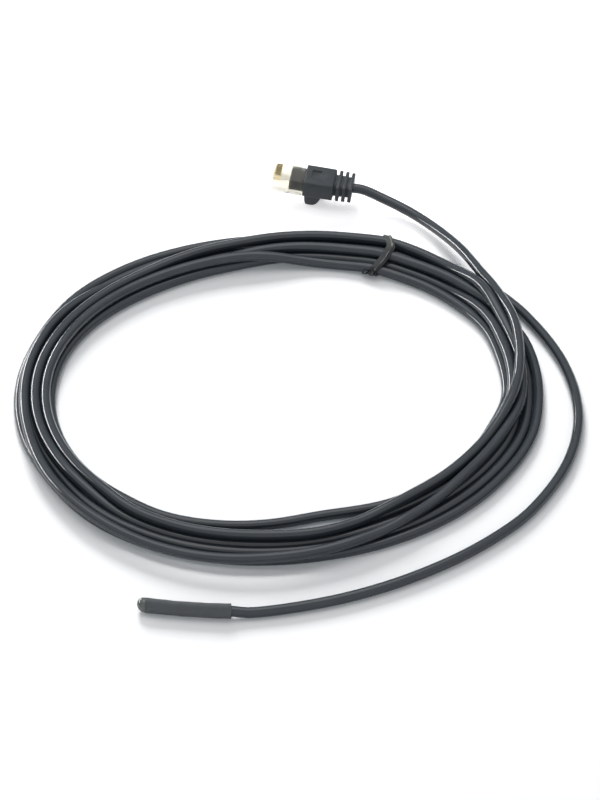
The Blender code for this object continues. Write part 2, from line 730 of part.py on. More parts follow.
def boot_rings():
    """The boot's outside from the tongue's front to the last rib, one ring at each step in size."""
    edge = BLOCK_CORNER / 2
    rings = []

    def add(x, width, height, corner):
        rings.append(rounded_section(x, width, height, BODY_MIDDLE, corner))

    add(TONGUE_START, TONGUE_WIDTH, TONGUE_HEIGHT, BODY_CORNER)
    add(BLOCK_START, TONGUE_WIDTH, TONGUE_HEIGHT, BODY_CORNER)
    add(BLOCK_START, BLOCK_WIDTH, BLOCK_HEIGHT, BLOCK_CORNER)
    add(BLOCK_END - edge, BLOCK_WIDTH, BLOCK_HEIGHT, BLOCK_CORNER)
    add(BLOCK_END, BLOCK_WIDTH - 2 * edge, BLOCK_HEIGHT - 2 * edge, BLOCK_CORNER)
    for index in range(RIB_COUNT):
        end = BLOCK_END + (index + 1) * RIB_PITCH
        start = end - RIB_THICKNESS
        width = RIB_WIDTH - index * RIB_TAPER
        height = RIB_HEIGHT - index * RIB_TAPER / 2
        before = BLOCK_END + index * RIB_PITCH
        add(before, NECK_WIDTH, NECK_HEIGHT, NECK_CORNER)
        add(start, NECK_WIDTH, NECK_HEIGHT, NECK_CORNER)
        add(start, width, height, BLOCK_CORNER)
        add(end, width, height, BLOCK_CORNER)
    return rings


def make_boot(finish, frame):
    boot = lofted("boot", boot_rings(), finish, frame)
    front = BLOCK_START + HOOD_SET_BACK
    foot = front + HOOD_SLANT
    heel = foot + HOOD_FLAT
    sunk = BLOCK_CORNER
    hood_outline = [(front, sunk), (foot, -HOOD_DEPTH), (heel, -HOOD_DEPTH), (heel + HOOD_TAIL, 0.0),
                    (heel + HOOD_TAIL, sunk)]
    hood = extruded("hood_guide", hood_outline, HOOD_WIDTH / 2, None, frame)
    combine(boot, hood, "UNION")
    hollow_outline = [(front - GAP, -HOOD_WALL / 2), (front - GAP, HOOD_WALL - HOOD_DEPTH),
                      (heel - HOOD_WALL / 2, HOOD_WALL - HOOD_DEPTH), (heel + HOOD_WALL / 2, -HOOD_WALL / 2)]
    hollow = extruded("hollow_guide", hollow_outline, HOOD_WIDTH / 2 - HOOD_WALL, None, frame)
    combine(boot, hollow, "DIFFERENCE")
    bore = lofted("bore_guide", cylinder_rings(PLUG_JACKET_START - GAP, BOOT_END + GAP, BOOT_BORE,
                                               BODY_MIDDLE, 20), None, frame)
    combine(boot, bore, "DIFFERENCE")
    half = CORE_DIAMETER / 2 + PASSAGE_MARGIN
    passage_outline = [(TONGUE_START - GAP, BODY_MIDDLE - half), (PLUG_JACKET_START, BODY_MIDDLE - half),
                       (PLUG_JACKET_START, BODY_MIDDLE + half), (TONGUE_START - GAP, BODY_MIDDLE + half)]
    passage = extruded("passage_guide", passage_outline, CORE_PITCH / 2 + half, None, frame)
    combine(boot, passage, "DIFFERENCE")


def build():
    clear_scene()
    jacket = material("black_pvc_jacket", (0.030, 0.033, 0.035), 0.32)
    shrink = material("black_heat_shrink", (0.045, 0.048, 0.052), 0.55)
    resin = material("potting_resin", (0.060, 0.070, 0.065), 0.15)
    bead = material("bead_coating", (0.020, 0.020, 0.022), 0.35)
    tinned = material("tinned_wire", (0.75, 0.75, 0.76), 0.30, metallic=1.0)
    splice = material("splice_tubing", (0.80, 0.80, 0.78), 0.50)
    ribbon = material("tie_ribbon", (0.050, 0.052, 0.055), 0.40)
    moulded = material("moulded_boot", (0.035, 0.038, 0.041), 0.45)
    clear = material("clear_plug", (0.92, 0.94, 0.95), 0.08, alpha=0.35)
    gold = material("gold_plating", (0.83, 0.60, 0.25), 0.22, metallic=1.0)
    insulation = {
        "a": material("ivory_insulation", (0.72, 0.68, 0.58), 0.40),
        "b": material("white_insulation", (0.80, 0.80, 0.78), 0.40),
    }
    make_sleeve(shrink)
    make_tip_seal(resin)
    make_bead(bead)
    make_probe_wiring(tinned, splice, insulation)
    make_coil(jacket)
    make_tie(ribbon)
    make_probe_lead(jacket)
    frame = place_plug()
    make_plug_lead(jacket, frame.matrix_world)
    make_plug_body(clear, frame)
    make_contacts(gold, frame)
    make_plug_cores(insulation, frame)
    make_boot(moulded, frame)


build()
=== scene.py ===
# %% [markdown]
# # Rack temperature sensor
# A small probe in heat-shrink tubing, about four metres of thin round lead in a loose coil with a
# twist tie, and a clear modular plug in a black boot. The solid model is loaded first and stays where
# it is. Everything below dresses it, in metres, in the same frame.

# %% Load the solid model
import math

import bmesh
import bpy
import numpy as np
from mathutils import Matrix, Vector


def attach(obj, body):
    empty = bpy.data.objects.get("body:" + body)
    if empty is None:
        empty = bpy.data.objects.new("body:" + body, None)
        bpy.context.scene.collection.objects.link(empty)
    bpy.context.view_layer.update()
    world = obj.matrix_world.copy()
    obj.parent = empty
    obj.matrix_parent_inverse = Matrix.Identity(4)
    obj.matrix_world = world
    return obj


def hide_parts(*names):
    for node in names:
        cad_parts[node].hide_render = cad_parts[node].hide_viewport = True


def show(made):
    """Put a new object in the scene."""
    bpy.context.scene.collection.objects.link(made)
    return made


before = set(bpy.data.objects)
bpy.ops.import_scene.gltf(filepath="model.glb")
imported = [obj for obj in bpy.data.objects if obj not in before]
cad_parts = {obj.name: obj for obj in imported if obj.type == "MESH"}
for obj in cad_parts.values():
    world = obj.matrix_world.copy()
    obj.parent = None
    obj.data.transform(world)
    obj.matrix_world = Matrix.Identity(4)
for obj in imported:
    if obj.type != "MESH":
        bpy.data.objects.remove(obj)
bpy.context.view_layer.update()

# %% [markdown]
# ## Camera
# The picture looks down at the floor at 38 degrees, straight along +Y, from well away, so that the
# far and near sides of the coil are drawn at nearly the same scale. A long lens at 1.6 m does this.
# The coil isn't in the middle of the picture, and a small shift of the lens places it without turning
# the camera.

# %% Camera
PICTURE_HEIGHT = 800
PIXELS_PER_METRE = 2850
SHIFT_RIGHT = 20
SHIFT_UP = -6
FILM_HEIGHT = 36
VIEW_ELEVATION = math.radians(38)
VIEW_DISTANCE = 1.6
COIL_CENTRE = Vector((0.0318, 0.1129, 0.0))
VIEW_TARGET = COIL_CENTRE + Vector((0, 0, 0.004))

toward_camera = Vector((0, -math.cos(VIEW_ELEVATION), math.sin(VIEW_ELEVATION)))
camera_data = bpy.data.cameras.new("view")
camera_data.sensor_fit = "VERTICAL"
camera_data.sensor_height = FILM_HEIGHT
camera_data.lens = PIXELS_PER_METRE * VIEW_DISTANCE * FILM_HEIGHT / PICTURE_HEIGHT
camera_data.shift_x = SHIFT_RIGHT / PICTURE_HEIGHT
camera_data.shift_y = SHIFT_UP / PICTURE_HEIGHT
camera_data.clip_end = 10
camera = show(bpy.data.objects.new("view", camera_data))
camera.location = VIEW_TARGET + toward_camera * VIEW_DISTANCE
camera.rotation_euler = toward_camera.to_track_quat("Z", "Y").to_euler()
bpy.context.scene.camera = camera
print("lens", round(camera_data.lens, 1), "mm")

# %% [markdown]
# ## The lead's route
# The lead is one soft cable, so its whole route is settled before anything is drawn. Where it lies
# free, a dozen points on the floor are enough. They are the same points as in the solid model. The
# probe's own end is bent a little, and the plug stands nose up on the foot of its boot, so both have
# a small function that turns a local point into a place.

# %% Sizes and the probe's and the plug's places
LEAD = 0.0037
LEAD_RADIUS = LEAD / 2
PROBE_END = 0.01565
PROBE_LENGTH = 0.0313
PROBE_BEND = 0.0027
BEND_CENTRE = 0.43
SLEEVE_RADIUS = 0.00255
BODY_LENGTH = 0.0123
BODY_WIDTH = 0.01168
BODY_HEIGHT = 0.0066
BLOCK_START = 0.0126
BLOCK_END = 0.0238
BOOT_END = 0.0307
HOOD_DEPTH = 0.0045
HOOD_FOOT = 0.0173
PLUG_TURN = math.radians(-9)
PLUG_TILT = math.radians(5)
PLUG_EXIT = (0.0589, 0.2338)


def probe_point(x, y=0.0, z=0.0):
    """A point beside the probe's axis, which bends towards +Y at its tip."""
    reach = max(0.0, PROBE_END - x) / PROBE_LENGTH
    return Vector((x, y + PROBE_BEND * (reach ** 2 - BEND_CENTRE), z + SLEEVE_RADIUS))


def plug_place():
    """The plug's frame: x from the nose to the lead, z up to the contacts."""
    turn = Matrix.Rotation(PLUG_TURN, 4, "Z") @ Matrix.Rotation(PLUG_TILT, 4, "Y")
    foot = turn @ Vector((HOOD_FOOT, 0, -HOOD_DEPTH))
    lead = turn @ Vector((BOOT_END, 0, BODY_HEIGHT / 2))
    return Matrix.Translation((PLUG_EXIT[0] - lead.x, PLUG_EXIT[1] - lead.y, -foot.z)) @ turn


plug_frame = plug_place()
print("plug's nose at", [round(x, 4) for x in plug_frame.translation])

# %% The free stretches
probe_stretch = [probe_point(x) for x in (0.00795, 0.0118, PROBE_END)]
for x, y in (
    (0.0213, -0.0012), (0.0331, 0.0001), (0.0451, 0.0028), (0.0571, 0.0069), (0.0692, 0.0123),
    (0.0814, 0.0192), (0.0937, 0.0276), (0.1062, 0.0384), (0.1153, 0.0483), (0.1235, 0.0610),
    (0.1299, 0.0742), (0.1340, 0.0875), (0.1360, 0.1009), (0.1360, 0.1109), (0.1349, 0.1214),
    (0.1317, 0.1353), (0.1263, 0.1493),
):
    probe_stretch.append(Vector((x, y, LEAD_RADIUS)))
plug_stretch = [Vector(point) for point in (
    (0.0982, 0.1951, 0.0063), (0.0927, 0.2061, 0.0046), (0.0871, 0.2148, 0.0036),
    (0.0815, 0.2215, 0.0033), (0.0759, 0.2264, 0.0036), (0.0702, 0.2302, 0.0043),
)]
for x in (BOOT_END + LEAD, BOOT_END, 0.02215, 0.0136):
    plug_stretch.append(plug_frame @ Vector((x, 0, BODY_HEIGHT / 2)))
print(len(probe_stretch), "points to the coil,", len(plug_stretch), "from the coil to the plug")

# %% [markdown]
# ## The turns of the coil
# Seven turns lie side by side and on each other, and cross a few times: one climbs at the left and
# comes down on the inner side at the front, one is drawn inward just past the tie. Plain circles
# would look like a spring. Drawing every strand by hand in three dimensions would leave strands
# inside each other. So each turn gets a plan, its rough radius and layer at a few angles, and a small
# relaxation then does what gravity and stiffness do: strands sink to the floor, push each other
# apart until they only touch, and stay smooth along their length. It has no random part, so it always
# gives the same coil.

# %% The plan of the turns
TIE_ANGLE = 66.0
# One row for each turn, from the probe's side: angle in degrees, radius in millimetres, layer, and,
# where a strand arches over a gap, how strongly its height is kept.
TURN_PLAN = (
    ((30.3, 100.7, 0), (38, 100.2, 0), (45, 99.9, 0), (55, 99.6, 0), (65, 98.7, 0), (75, 96.6, 0),
     (88, 94.3, 0), (100, 93.2, 0), (110, 94.2, 0), (120, 95.0, 0), (135, 94.2, 0), (150, 92.6, 0),
     (180, 90.6, 0), (210, 90.3, 0), (240, 90.9, 0), (262, 88.8, 0), (277, 86.9, 0), (300, 86.3, 0),
     (330, 87.8, 0), (345, 88.4, 0)),
    ((0, 88.9, 0), (15, 89.9, 0), (30, 93.0, 0), (45, 95.8, 0), (65, 94.9, 0), (90, 90.8, 0),
     (120, 91.1, 0), (150, 90.6, 1), (180, 89.8, 1), (210, 91.5, 1, 0.1), (230, 93.5, 1, 0.2),
     (245, 94.5, 1, 0.2), (255, 93.8, 1.05, 0.2), (270, 90.6, 1.15, 0.1), (285, 86.7, 1.1),
     (300, 82.6, 1.1), (315, 79.4, 1.1), (330, 78.6, 1.1), (345, 81.0, 1.3)),
    ((0, 85.0, 2), (15, 87.0, 2), (30, 89.8, 1.9), (40, 92.4, 1.5), (50, 95.0, 1.1), (65, 96.7, 1),
     (80, 93.6, 1.1), (95, 90.4, 1.1), (110, 87.2, 1.1), (125, 85.5, 1.1), (140, 85.1, 1),
     (165, 85.3, 1), (190, 85.2, 1), (210, 84.9, 0.9), (225, 84.2, 0.5), (240, 83.6, 0),
     (262, 80.5, 0), (277, 79.2, 0), (300, 77.9, 0), (315, 78.6, 0), (330, 80.0, 0), (345, 82.2, 0)),
    ((0, 84.4, 0), (15, 86.2, 0), (30, 89.2, 0), (45, 91.6, 0), (65, 90.9, 0), (90, 88.4, 0),
     (120, 87.1, 0), (150, 88.6, 0), (180, 88.2, 0), (210, 86.6, 0), (240, 87.3, 0), (262, 84.8, 0),
     (277, 83.1, 0), (300, 82.2, 0), (315, 82.8, 0), (330, 83.9, 0), (345, 85.6, 0.5)),
    ((0, 86.3, 1), (15, 88.0, 1), (30, 90.8, 1), (45, 91.4, 1), (65, 88.8, 1), (80, 87.2, 0.9),
     (95, 85.0, 0.5), (110, 83.6, 0.1), (120, 83.3, 0), (150, 84.6, 0), (180, 84.6, 0), (210, 82.6, 0),
     (240, 79.8, 0), (255, 77.6, 0), (262, 76.9, 0), (277, 75.8, 0), (300, 73.2, 0), (315, 74.0, 0),
     (330, 76.8, 0), (345, 79.6, 0.5)),
    ((0, 82.4, 1), (15, 84.2, 1), (30, 87.1, 1), (42, 88.4, 0.8), (55, 87.9, 0.2), (65, 87.0, 0),
     (80, 84.8, 0), (100, 80.8, 0), (120, 79.2, 0), (150, 80.7, 0), (180, 81.0, 0), (210, 78.9, 0),
     (240, 75.9, 0), (255, 72.2, 0), (270, 68.4, 0), (282, 65.4, 0), (292, 66.8, 0), (300, 68.7, 0),
     (315, 71.0, 0), (330, 73.4, 0), (345, 76.8, 0)),
    ((0, 80.4, 0), (15, 82.5, 0), (30, 85.1, 0), (45, 85.3, 0), (60, 84.6, 0), (70, 83.2, 0),
     (80, 82.4, 0.2), (95, 81.0, 0.8), (110, 80.2, 1.1), (130, 80.6, 1.1), (150, 81.8, 1),
     (180, 82.8, 1), (210, 82.0, 1), (225, 82.2, 1), (240, 82.6, 1), (255, 81.1, 1), (268, 79.2, 1.1),
     (282, 78.9, 1.1), (292, 75.4, 1.1), (300, 73.6, 1.1), (315, 72.9, 1.1), (330, 74.0, 1.2),
     (340, 75.8, 1.5), (350.3, 79.4, 2), (357.9, 82.0, 2.2)),
    ((4.85, 84.3, 2.3), (11.3, 86.4, 2.3), (18.8, 88.6, 2.3), (26.2, 91.25, 2.2),
     (34.05, 94.2, 2.1, 0.1), (42.87, 98.6, 1.9, 0.2)),
)
print(len(TURN_PLAN), "rows,", sum(len(row) for row in TURN_PLAN), "places")


# %% Smooth values between the plan's places
MM = 1000
STEP_ANGLE = 3.0
STATIONS = 120
LAYER = 3.3


def between(angles, places, values):
    """Values on one smooth curve through the plan's places."""
    places = np.array(places, float)
    values = np.array(values, float)
    slopes = np.gradient(values, places)
    left = np.clip(np.searchsorted(places, angles) - 1, 0, len(places) - 2)
    width = places[left + 1] - places[left]
    t = (angles - places[left]) / width
    return (
        (2 * t ** 3 - 3 * t ** 2 + 1) * values[left]
        + (t ** 3 - 2 * t ** 2 + t) * width * slopes[left]
        + (3 * t ** 2 - 2 * t ** 3) * values[left + 1]
        + (t ** 3 - t ** 2) * width * slopes[left + 1]
    )


def planned():
    """Angles at even steps, with the plan's radius and height there and how far a height is kept."""
    places, radii, heights, keeps = [], [], [], []
    for turn, row in enumerate(TURN_PLAN):
        for angle, radius, layer, *keep in row:
            places.append(angle + 360 * turn)
            radii.append(radius)
            heights.append(LEAD_RADIUS * MM + LAYER * layer)
            keeps.append(keep[0] if keep else 0.0)
    count = round((places[-1] - places[0]) / STEP_ANGLE) + 1
    angles = places[0] + np.arange(count) * STEP_ANGLE
    radius = between(angles, places, radii)
    height = between(angles, places, heights)
    return angles, radius, height, np.interp(angles, places, keeps)


# %% Let the turns settle
SETTLE_STEPS = 1500
DROP_FROM = 1.15
STRAND_GAP = 0.06
TIE_LIFT = 0.75
TIE_LIFT_REACH = 5.0
# Shares and millimetres for each step, early and late: strands follow the plan, and sink.
FOLLOW = (0.06, 0.02)
FOLLOW_LATE = 0.6
SINK = (0.03, 0.01)
SINK_LATE = 0.9
SMOOTHING = 0.25
PUSH_SHARE = 0.4


def settle():
    """Radius and height of the lead at each angle, in millimetres, once its turns touch and rest."""
    angles, wanted, seeded, keep = planned()
    radius = wanted.copy()
    height = seeded * DROP_FROM
    station = np.round(angles / STEP_ANGLE).astype(int) % STATIONS
    pairs = []
    for place in range(STATIONS):
        here = np.flatnonzero(station == place)
        pairs += [(a, b) for i, a in enumerate(here) for b in here[i + 1:]]
    first, second = np.array(pairs).T
    away = (angles - TIE_ANGLE + 180) % 360 - 180
    on_tie = TIE_LIFT * np.exp(-(away / TIE_LIFT_REACH) ** 2)
    floor = LEAD_RADIUS * MM + on_tie
    apart = LEAD * MM + STRAND_GAP
    for step in range(SETTLE_STEPS):
        late = step / SETTLE_STEPS
        radius += FOLLOW[late >= FOLLOW_LATE] * (wanted - radius)
        height -= SINK[late >= SINK_LATE] * (1 - 5 * keep).clip(0, 1)
        height += keep * (seeded - height)
        for value in (radius, height):
            bend = value.copy()
            bend[2:-2] = (4 * value[1:-3] + 4 * value[3:-1] - value[:-4] - value[4:]) / 6
            pull = value.copy()
            pull[1:-1] = (value[:-2] + value[2:]) / 2
            value += SMOOTHING * (0.7 * (bend - value) + 0.3 * (pull - value))
        for _ in range(3):
            across = radius[second] - radius[first]
            up = height[second] - height[first]
            far = np.hypot(across, up) + 1e-9
            push = np.clip(apart - far, 0, None) * PUSH_SHARE / far
            np.add.at(radius, second, across * push)
            np.add.at(radius, first, -across * push)
            np.add.at(height, second, up * push)
            np.add.at(height, first, -up * push)
            height = np.maximum(height, floor)
    across = radius[second] - radius[first]
    up = height[second] - height[first]
    print("closest two strands:", round(float(np.hypot(across, up).min()), 2), "mm")
    return angles, radius, height


turn_angles, turn_radii, turn_heights = settle()
print("highest strand:", round(float(turn_heights.max()) + LEAD_RADIUS * MM, 1), "mm")


# %% One smooth curve from the probe to the plug
ROUTE_STEP = 0.0022


def coil_point(angle, radius, height):
    """A point by its angle in degrees about the coil's centre, and millimetres out and up."""
    turn = math.radians(angle)
    out = Vector((math.cos(turn), math.sin(turn), 0)) * (radius / MM)
    return COIL_CENTRE + out + Vector((0, 0, height / MM))


def smooth_route(points, spacing):
    """Points at an even spacing on a centripetal curve through the given points."""
    padded = [2 * points[0] - points[1], *points, 2 * points[-1] - points[-2]]
    fine = []
    for a, b, c, d in zip(padded, padded[1:], padded[2:], padded[3:]):
        ta, tb = 0.0, (b - a).length ** 0.5
        tc = tb + (c - b).length ** 0.5
        td = tc + (d - c).length ** 0.5
        parts = max(2, math.ceil((c - b).length / spacing * 2))
        for step in range(parts):
            t = tb + (tc - tb) * step / parts
            ab = a.lerp(b, (t - ta) / (tb - ta))
            bc = b.lerp(c, (t - tb) / (tc - tb))
            cd = c.lerp(d, (t - tc) / (td - tc))
            early = ab.lerp(bc, (t - ta) / (tc - ta))
            late = bc.lerp(cd, (t - tb) / (td - tb))
            fine.append(early.lerp(late, (t - tb) / (tc - tb)))
    fine.append(points[-1].copy())
    run = np.array(fine)
    along = np.concatenate([[0], np.cumsum(np.linalg.norm(np.diff(run, axis=0), axis=1))])
    even = np.linspace(0, along[-1], round(along[-1] / spacing) + 1)
    return np.stack([np.interp(even, along, run[:, axis]) for axis in range(3)], 1), along[-1]


turns = [coil_point(*place) for place in zip(turn_angles, turn_radii, turn_heights)]
route, lead_length = smooth_route(probe_stretch + turns + plug_stretch, ROUTE_STEP)
print("lead:", round(float(lead_length), 3), "m,", len(route), "points")

# %% [markdown]
# ## A small language for materials
# Every finish below is a tree of shader nodes. Written node by node such a tree is long and hard to
# read, so one class wraps a socket and lets numbers and sockets be added and multiplied like in any
# sum, and one method adds any other node.


# %% Shader sums
class Value:
    """A socket that can stand in a sum. Each operator adds one Math node."""

    def __init__(self, finish, socket):
        self.finish = finish
        self.socket = socket

    def maths(self, operation, first, second):
        return self.finish.node("ShaderNodeMath", {"operation": operation}, {0: first, 1: second})

    def __add__(self, other):
        return self.maths("ADD", self, other)

    def __radd__(self, other):
        return self.maths("ADD", other, self)

    def __sub__(self, other):
        return self.maths("SUBTRACT", self, other)

    def __rsub__(self, other):
        return self.maths("SUBTRACT", other, self)

    def __mul__(self, other):
        return self.maths("MULTIPLY", self, other)

    def __rmul__(self, other):
        return self.maths("MULTIPLY", other, self)

    def largest(self, socket):
        return self.maths("MAXIMUM", self, Value(self.finish, socket))


class Finish:
    """A material with one Principled shader."""

    def __init__(self, name, **constants):
        self.material = bpy.data.materials.new(name)
        self.material.use_nodes = True
        self.tree = self.material.node_tree
        self.shader = self.tree.nodes["Principled BSDF"]
        for socket, value in constants.items():
            self.shader.inputs[socket.replace("_", " ")].default_value = value

    def node(self, kind, settings=None, sockets=None, out=0):
        """A node of a kind: its settings first, then its sockets. Gives back one of its outputs."""
        made = self.tree.nodes.new(kind)
        for name, value in (settings or {}).items():
            if name == "stops":
                self.set_stops(made.color_ramp, value)
            else:
                setattr(made, name, value)
        for name, value in (sockets or {}).items():
            if isinstance(value, Value):
                self.tree.links.new(value.socket, made.inputs[name])
            else:
                made.inputs[name].default_value = value
        return Value(self, made.outputs[out])

    def set_stops(self, ramp, stops):
        while len(ramp.elements) < len(stops):
            ramp.elements.new(1.0)
        for element, (place, colour) in zip(ramp.elements, stops):
            element.position = place
            element.color = (*colour, 1.0)

    def feed(self, socket, value):
        self.tree.links.new(value.socket, self.shader.inputs[socket])

    def place(self):
        return self.node("ShaderNodeTexCoord", out="Object")

    def axis(self, place, name):
        """One coordinate of a place."""
        split = self.tree.nodes.new("ShaderNodeSeparateXYZ")
        self.tree.links.new(place.socket, split.inputs[0])
        return Value(self, split.outputs[name])

    def noise(self, where, scale, detail=3.0, rough=0.55):
        return self.node("ShaderNodeTexNoise", {}, {
            "Vector": where, "Scale": scale, "Detail": detail, "Roughness": rough})

    def blend(self, factor, first, second):
        """A colour between two colours."""
        ends = [end if isinstance(end, Value) else (*end, 1.0) for end in (first, second)]
        sockets = {0: factor, 6: ends[0], 7: ends[1]}
        return self.node("ShaderNodeMix", {"data_type": "RGBA"}, sockets, out=2)

    def bump(self, height, distance):
        self.feed("Normal", self.node("ShaderNodeBump", {}, {"Height": height, "Distance": distance}))


print("shader helpers ready")

# %% [markdown]
# ## The lead's jacket
# The jacket is extruded black PVC. It is glossy but not polished: it spreads reflections a little,
# and drawing it through the die leaves faint lines along its length. The pattern has to follow the
# cable round every bend, so the mesh below carries its own coordinates, round the cable and along it,
# and the material reads them.


# %% Jacket finish
def jacket_finish():
    finish = Finish("jacket_pvc", Specular_IOR_Level=0.45)
    lay = finish.node("ShaderNodeAttribute", {"attribute_name": "lay"}, out="Vector")
    drawn = finish.node("ShaderNodeMapping", {}, {"Vector": lay, "Scale": (1.0, 1.0, 0.035)})
    lines = finish.noise(drawn, 2600.0, 2.0)
    clouds = finish.noise(lay, 60.0, 4.0)
    grain = finish.noise(lay, 5200.0, 2.0)
    finish.feed("Base Color", finish.blend(clouds, (0.020, 0.0255, 0.032), (0.034, 0.043, 0.053)))
    finish.feed("Roughness", 0.09 + 0.07 * clouds + 0.06 * lines)
    finish.bump(0.7 * lines + 0.3 * grain, 0.000012)
    return finish.material


jacket = jacket_finish()
print("made", jacket.name)

# %% [markdown]
# A tube along a path is what Geometry Nodes do best: a circle is swept along the route. The tree has
# the diameter and the number of sides as inputs, so that the same tree could draw any cable. Position
# on the circle and length along the route are captured before the sweep, and stored as the
# coordinates that the jacket's material reads.


# %% A tree of Geometry Nodes
def evaluated_mesh(piece):
    """A plain mesh of a piece as its modifiers leave it."""
    bpy.context.view_layer.update()
    return bpy.data.meshes.new_from_object(piece.evaluated_get(bpy.context.evaluated_depsgraph_get()))


class Tree:
    """A Geometry Nodes tree with named inputs, made into a plain mesh at the end."""

    def __init__(self, name, inputs):
        self.tree = bpy.data.node_groups.new(name, "GeometryNodeTree")
        face = self.tree.interface
        face.new_socket("Geometry", in_out="INPUT", socket_type="NodeSocketGeometry")
        self.keys = {}
        for label, (kind, value) in inputs.items():
            made = face.new_socket(label, in_out="INPUT", socket_type=kind)
            if value is not None:
                made.default_value = value
            self.keys[label] = made.identifier
        face.new_socket("Geometry", in_out="OUTPUT", socket_type="NodeSocketGeometry")
        self.start = self.tree.nodes.new("NodeGroupInput")
        self.end = self.tree.nodes.new("NodeGroupOutput")

    def node(self, kind, settings=None, sockets=None):
        made = self.tree.nodes.new(kind)
        for name, value in (settings or {}).items():
            setattr(made, name, value)
        for name, value in (sockets or {}).items():
            if isinstance(value, bpy.types.NodeSocket):
                self.tree.links.new(value, made.inputs[name])
            else:
                made.inputs[name].default_value = value
        return made

    def finish(self, geometry, material):
        """Realize Instances and Set Material come last, because the export drops instances."""
        real = self.node("GeometryNodeRealizeInstances", {}, {0: geometry})
        painted = self.node("GeometryNodeSetMaterial", {}, {
            "Geometry": real.outputs[0], "Material": material})
        self.tree.links.new(painted.outputs[0], self.end.inputs[0])

    def grow(self, name, start, values):
        """Run the tree on a start mesh, and give back the result as a plain object at the origin."""
        seed = show(bpy.data.objects.new(name + "_seed", start))
        modifier = seed.modifiers.new("grow", "NODES")
        modifier.node_group = self.tree
        for label, value in values.items():
            modifier[self.keys[label]] = value
        data = evaluated_mesh(seed)
        data.name = name
        bpy.data.objects.remove(seed, do_unlink=True)
        print(name, len(data.polygons), "faces")
        return show(bpy.data.objects.new(name, data))


def line_mesh(name, points):
    data = bpy.data.meshes.new(name)
    data.from_pydata([tuple(p) for p in points], [(i, i + 1) for i in range(len(points) - 1)], [])
    return data


# %% Sweep the lead along its route
LEAD_SIDES = 18


def lead_tree():
    tree = Tree("swept_lead", {
        "Diameter": ("NodeSocketFloat", LEAD), "Sides": ("NodeSocketInt", LEAD_SIDES)})
    path = tree.node("GeometryNodeMeshToCurve", {}, {0: tree.start.outputs["Geometry"]})
    along = tree.node("GeometryNodeSplineParameter")
    kept = tree.node("GeometryNodeCaptureAttribute", {}, {0: path.outputs[0]})
    kept.capture_items.new("FLOAT", "along")
    tree.tree.links.new(along.outputs["Length"], kept.inputs[1])
    half = tree.node("ShaderNodeMath", {"operation": "MULTIPLY"}, {
        0: tree.start.outputs["Diameter"], 1: 0.5})
    ring = tree.node("GeometryNodeCurvePrimitiveCircle", {"mode": "RADIUS"}, {
        "Resolution": tree.start.outputs["Sides"], "Radius": half.outputs[0]})
    spot = tree.node("GeometryNodeInputPosition")
    round_it = tree.node("GeometryNodeCaptureAttribute", {}, {0: ring.outputs[0]})
    round_it.capture_items.new("VECTOR", "round")
    tree.tree.links.new(spot.outputs[0], round_it.inputs[1])
    swept = tree.node("GeometryNodeCurveToMesh", {}, {
        "Curve": kept.outputs[0], "Profile Curve": round_it.outputs[0], "Fill Caps": True})
    parts = tree.node("ShaderNodeSeparateXYZ", {}, {0: round_it.outputs[1]})
    lay = tree.node("ShaderNodeCombineXYZ", {}, {
        0: parts.outputs[0], 1: parts.outputs[1], 2: kept.outputs[1]})
    named = tree.node("GeometryNodeStoreNamedAttribute", {"data_type": "FLOAT_VECTOR", "domain": "POINT"}, {
        "Geometry": swept.outputs[0], "Name": "lay", "Value": lay.outputs[0]})
    smooth = tree.node("GeometryNodeSetShadeSmooth", {}, {"Geometry": named.outputs[0]})
    tree.finish(smooth.outputs[0], jacket)
    return tree


lead = lead_tree().grow("sensor_lead", line_mesh("lead_line", route), {"Diameter": LEAD, "Sides": LEAD_SIDES})

# %% [markdown]
# ## Mesh helpers
# The rigid pieces are small mouldings. Each is made from a few closed outlines: rings skinned into a
# body, or a side view given a width. Pieces in the plug are made in the plug's own directions and
# then put in place in one go, so that every object still sits at the origin.


# %% Closed shapes from rings and outlines
CRISP_ANGLE = math.radians(32)


def shade_crisp(data):
    data.shade_smooth()
    data.set_sharp_from_angle(angle=CRISP_ANGLE)


def round_edges(shape, edge):
    bmesh.ops.bevel(shape, geom=shape.edges[:], offset=edge, segments=3, profile=0.5, affect="EDGES")


def add_piece(name, shape, finish=None):
    """A bmesh becomes an object: doubles merged, faces outwards, smooth with crisp edges."""
    bmesh.ops.remove_doubles(shape, verts=shape.verts, dist=1e-7)
    bmesh.ops.dissolve_degenerate(shape, edges=shape.edges, dist=1e-7)
    bmesh.ops.recalc_face_normals(shape, faces=shape.faces)
    data = bpy.data.meshes.new(name)
    shape.to_mesh(data)
    shape.free()
    shade_crisp(data)
    if finish:
        data.materials.append(finish)
    return show(bpy.data.objects.new(name, data))


def skin(shape, rings, closed=False):
    """Faces over a row of rings with equal counts, with flat ends unless the row is a loop."""
    rows = [[shape.verts.new(point) for point in ring] for ring in rings]
    count = len(rows[0])
    pairs = list(zip(rows, rows[1:]))
    if closed:
        pairs.append((rows[-1], rows[0]))
    for below, above in pairs:
        for step in range(count):
            after = (step + 1) % count
            shape.faces.new((below[step], below[after], above[after], above[step]))
    if not closed:
        shape.faces.new(rows[0])
        shape.faces.new(rows[-1])


def lofted(name, rings, finish=None, closed=False):
    shape = bmesh.new()
    skin(shape, rings, closed)
    return add_piece(name, shape, finish)


def prism(name, outline, half_width, edge=0.0, middle=0.0):
    """A side view in x and z given a width along y, with every edge rounded a little."""
    shape = bmesh.new()
    skin(shape, [[(x, middle + side * half_width, z) for x, z in outline] for side in (-1, 1)])
    if edge:
        round_edges(shape, edge)
    return add_piece(name, shape)


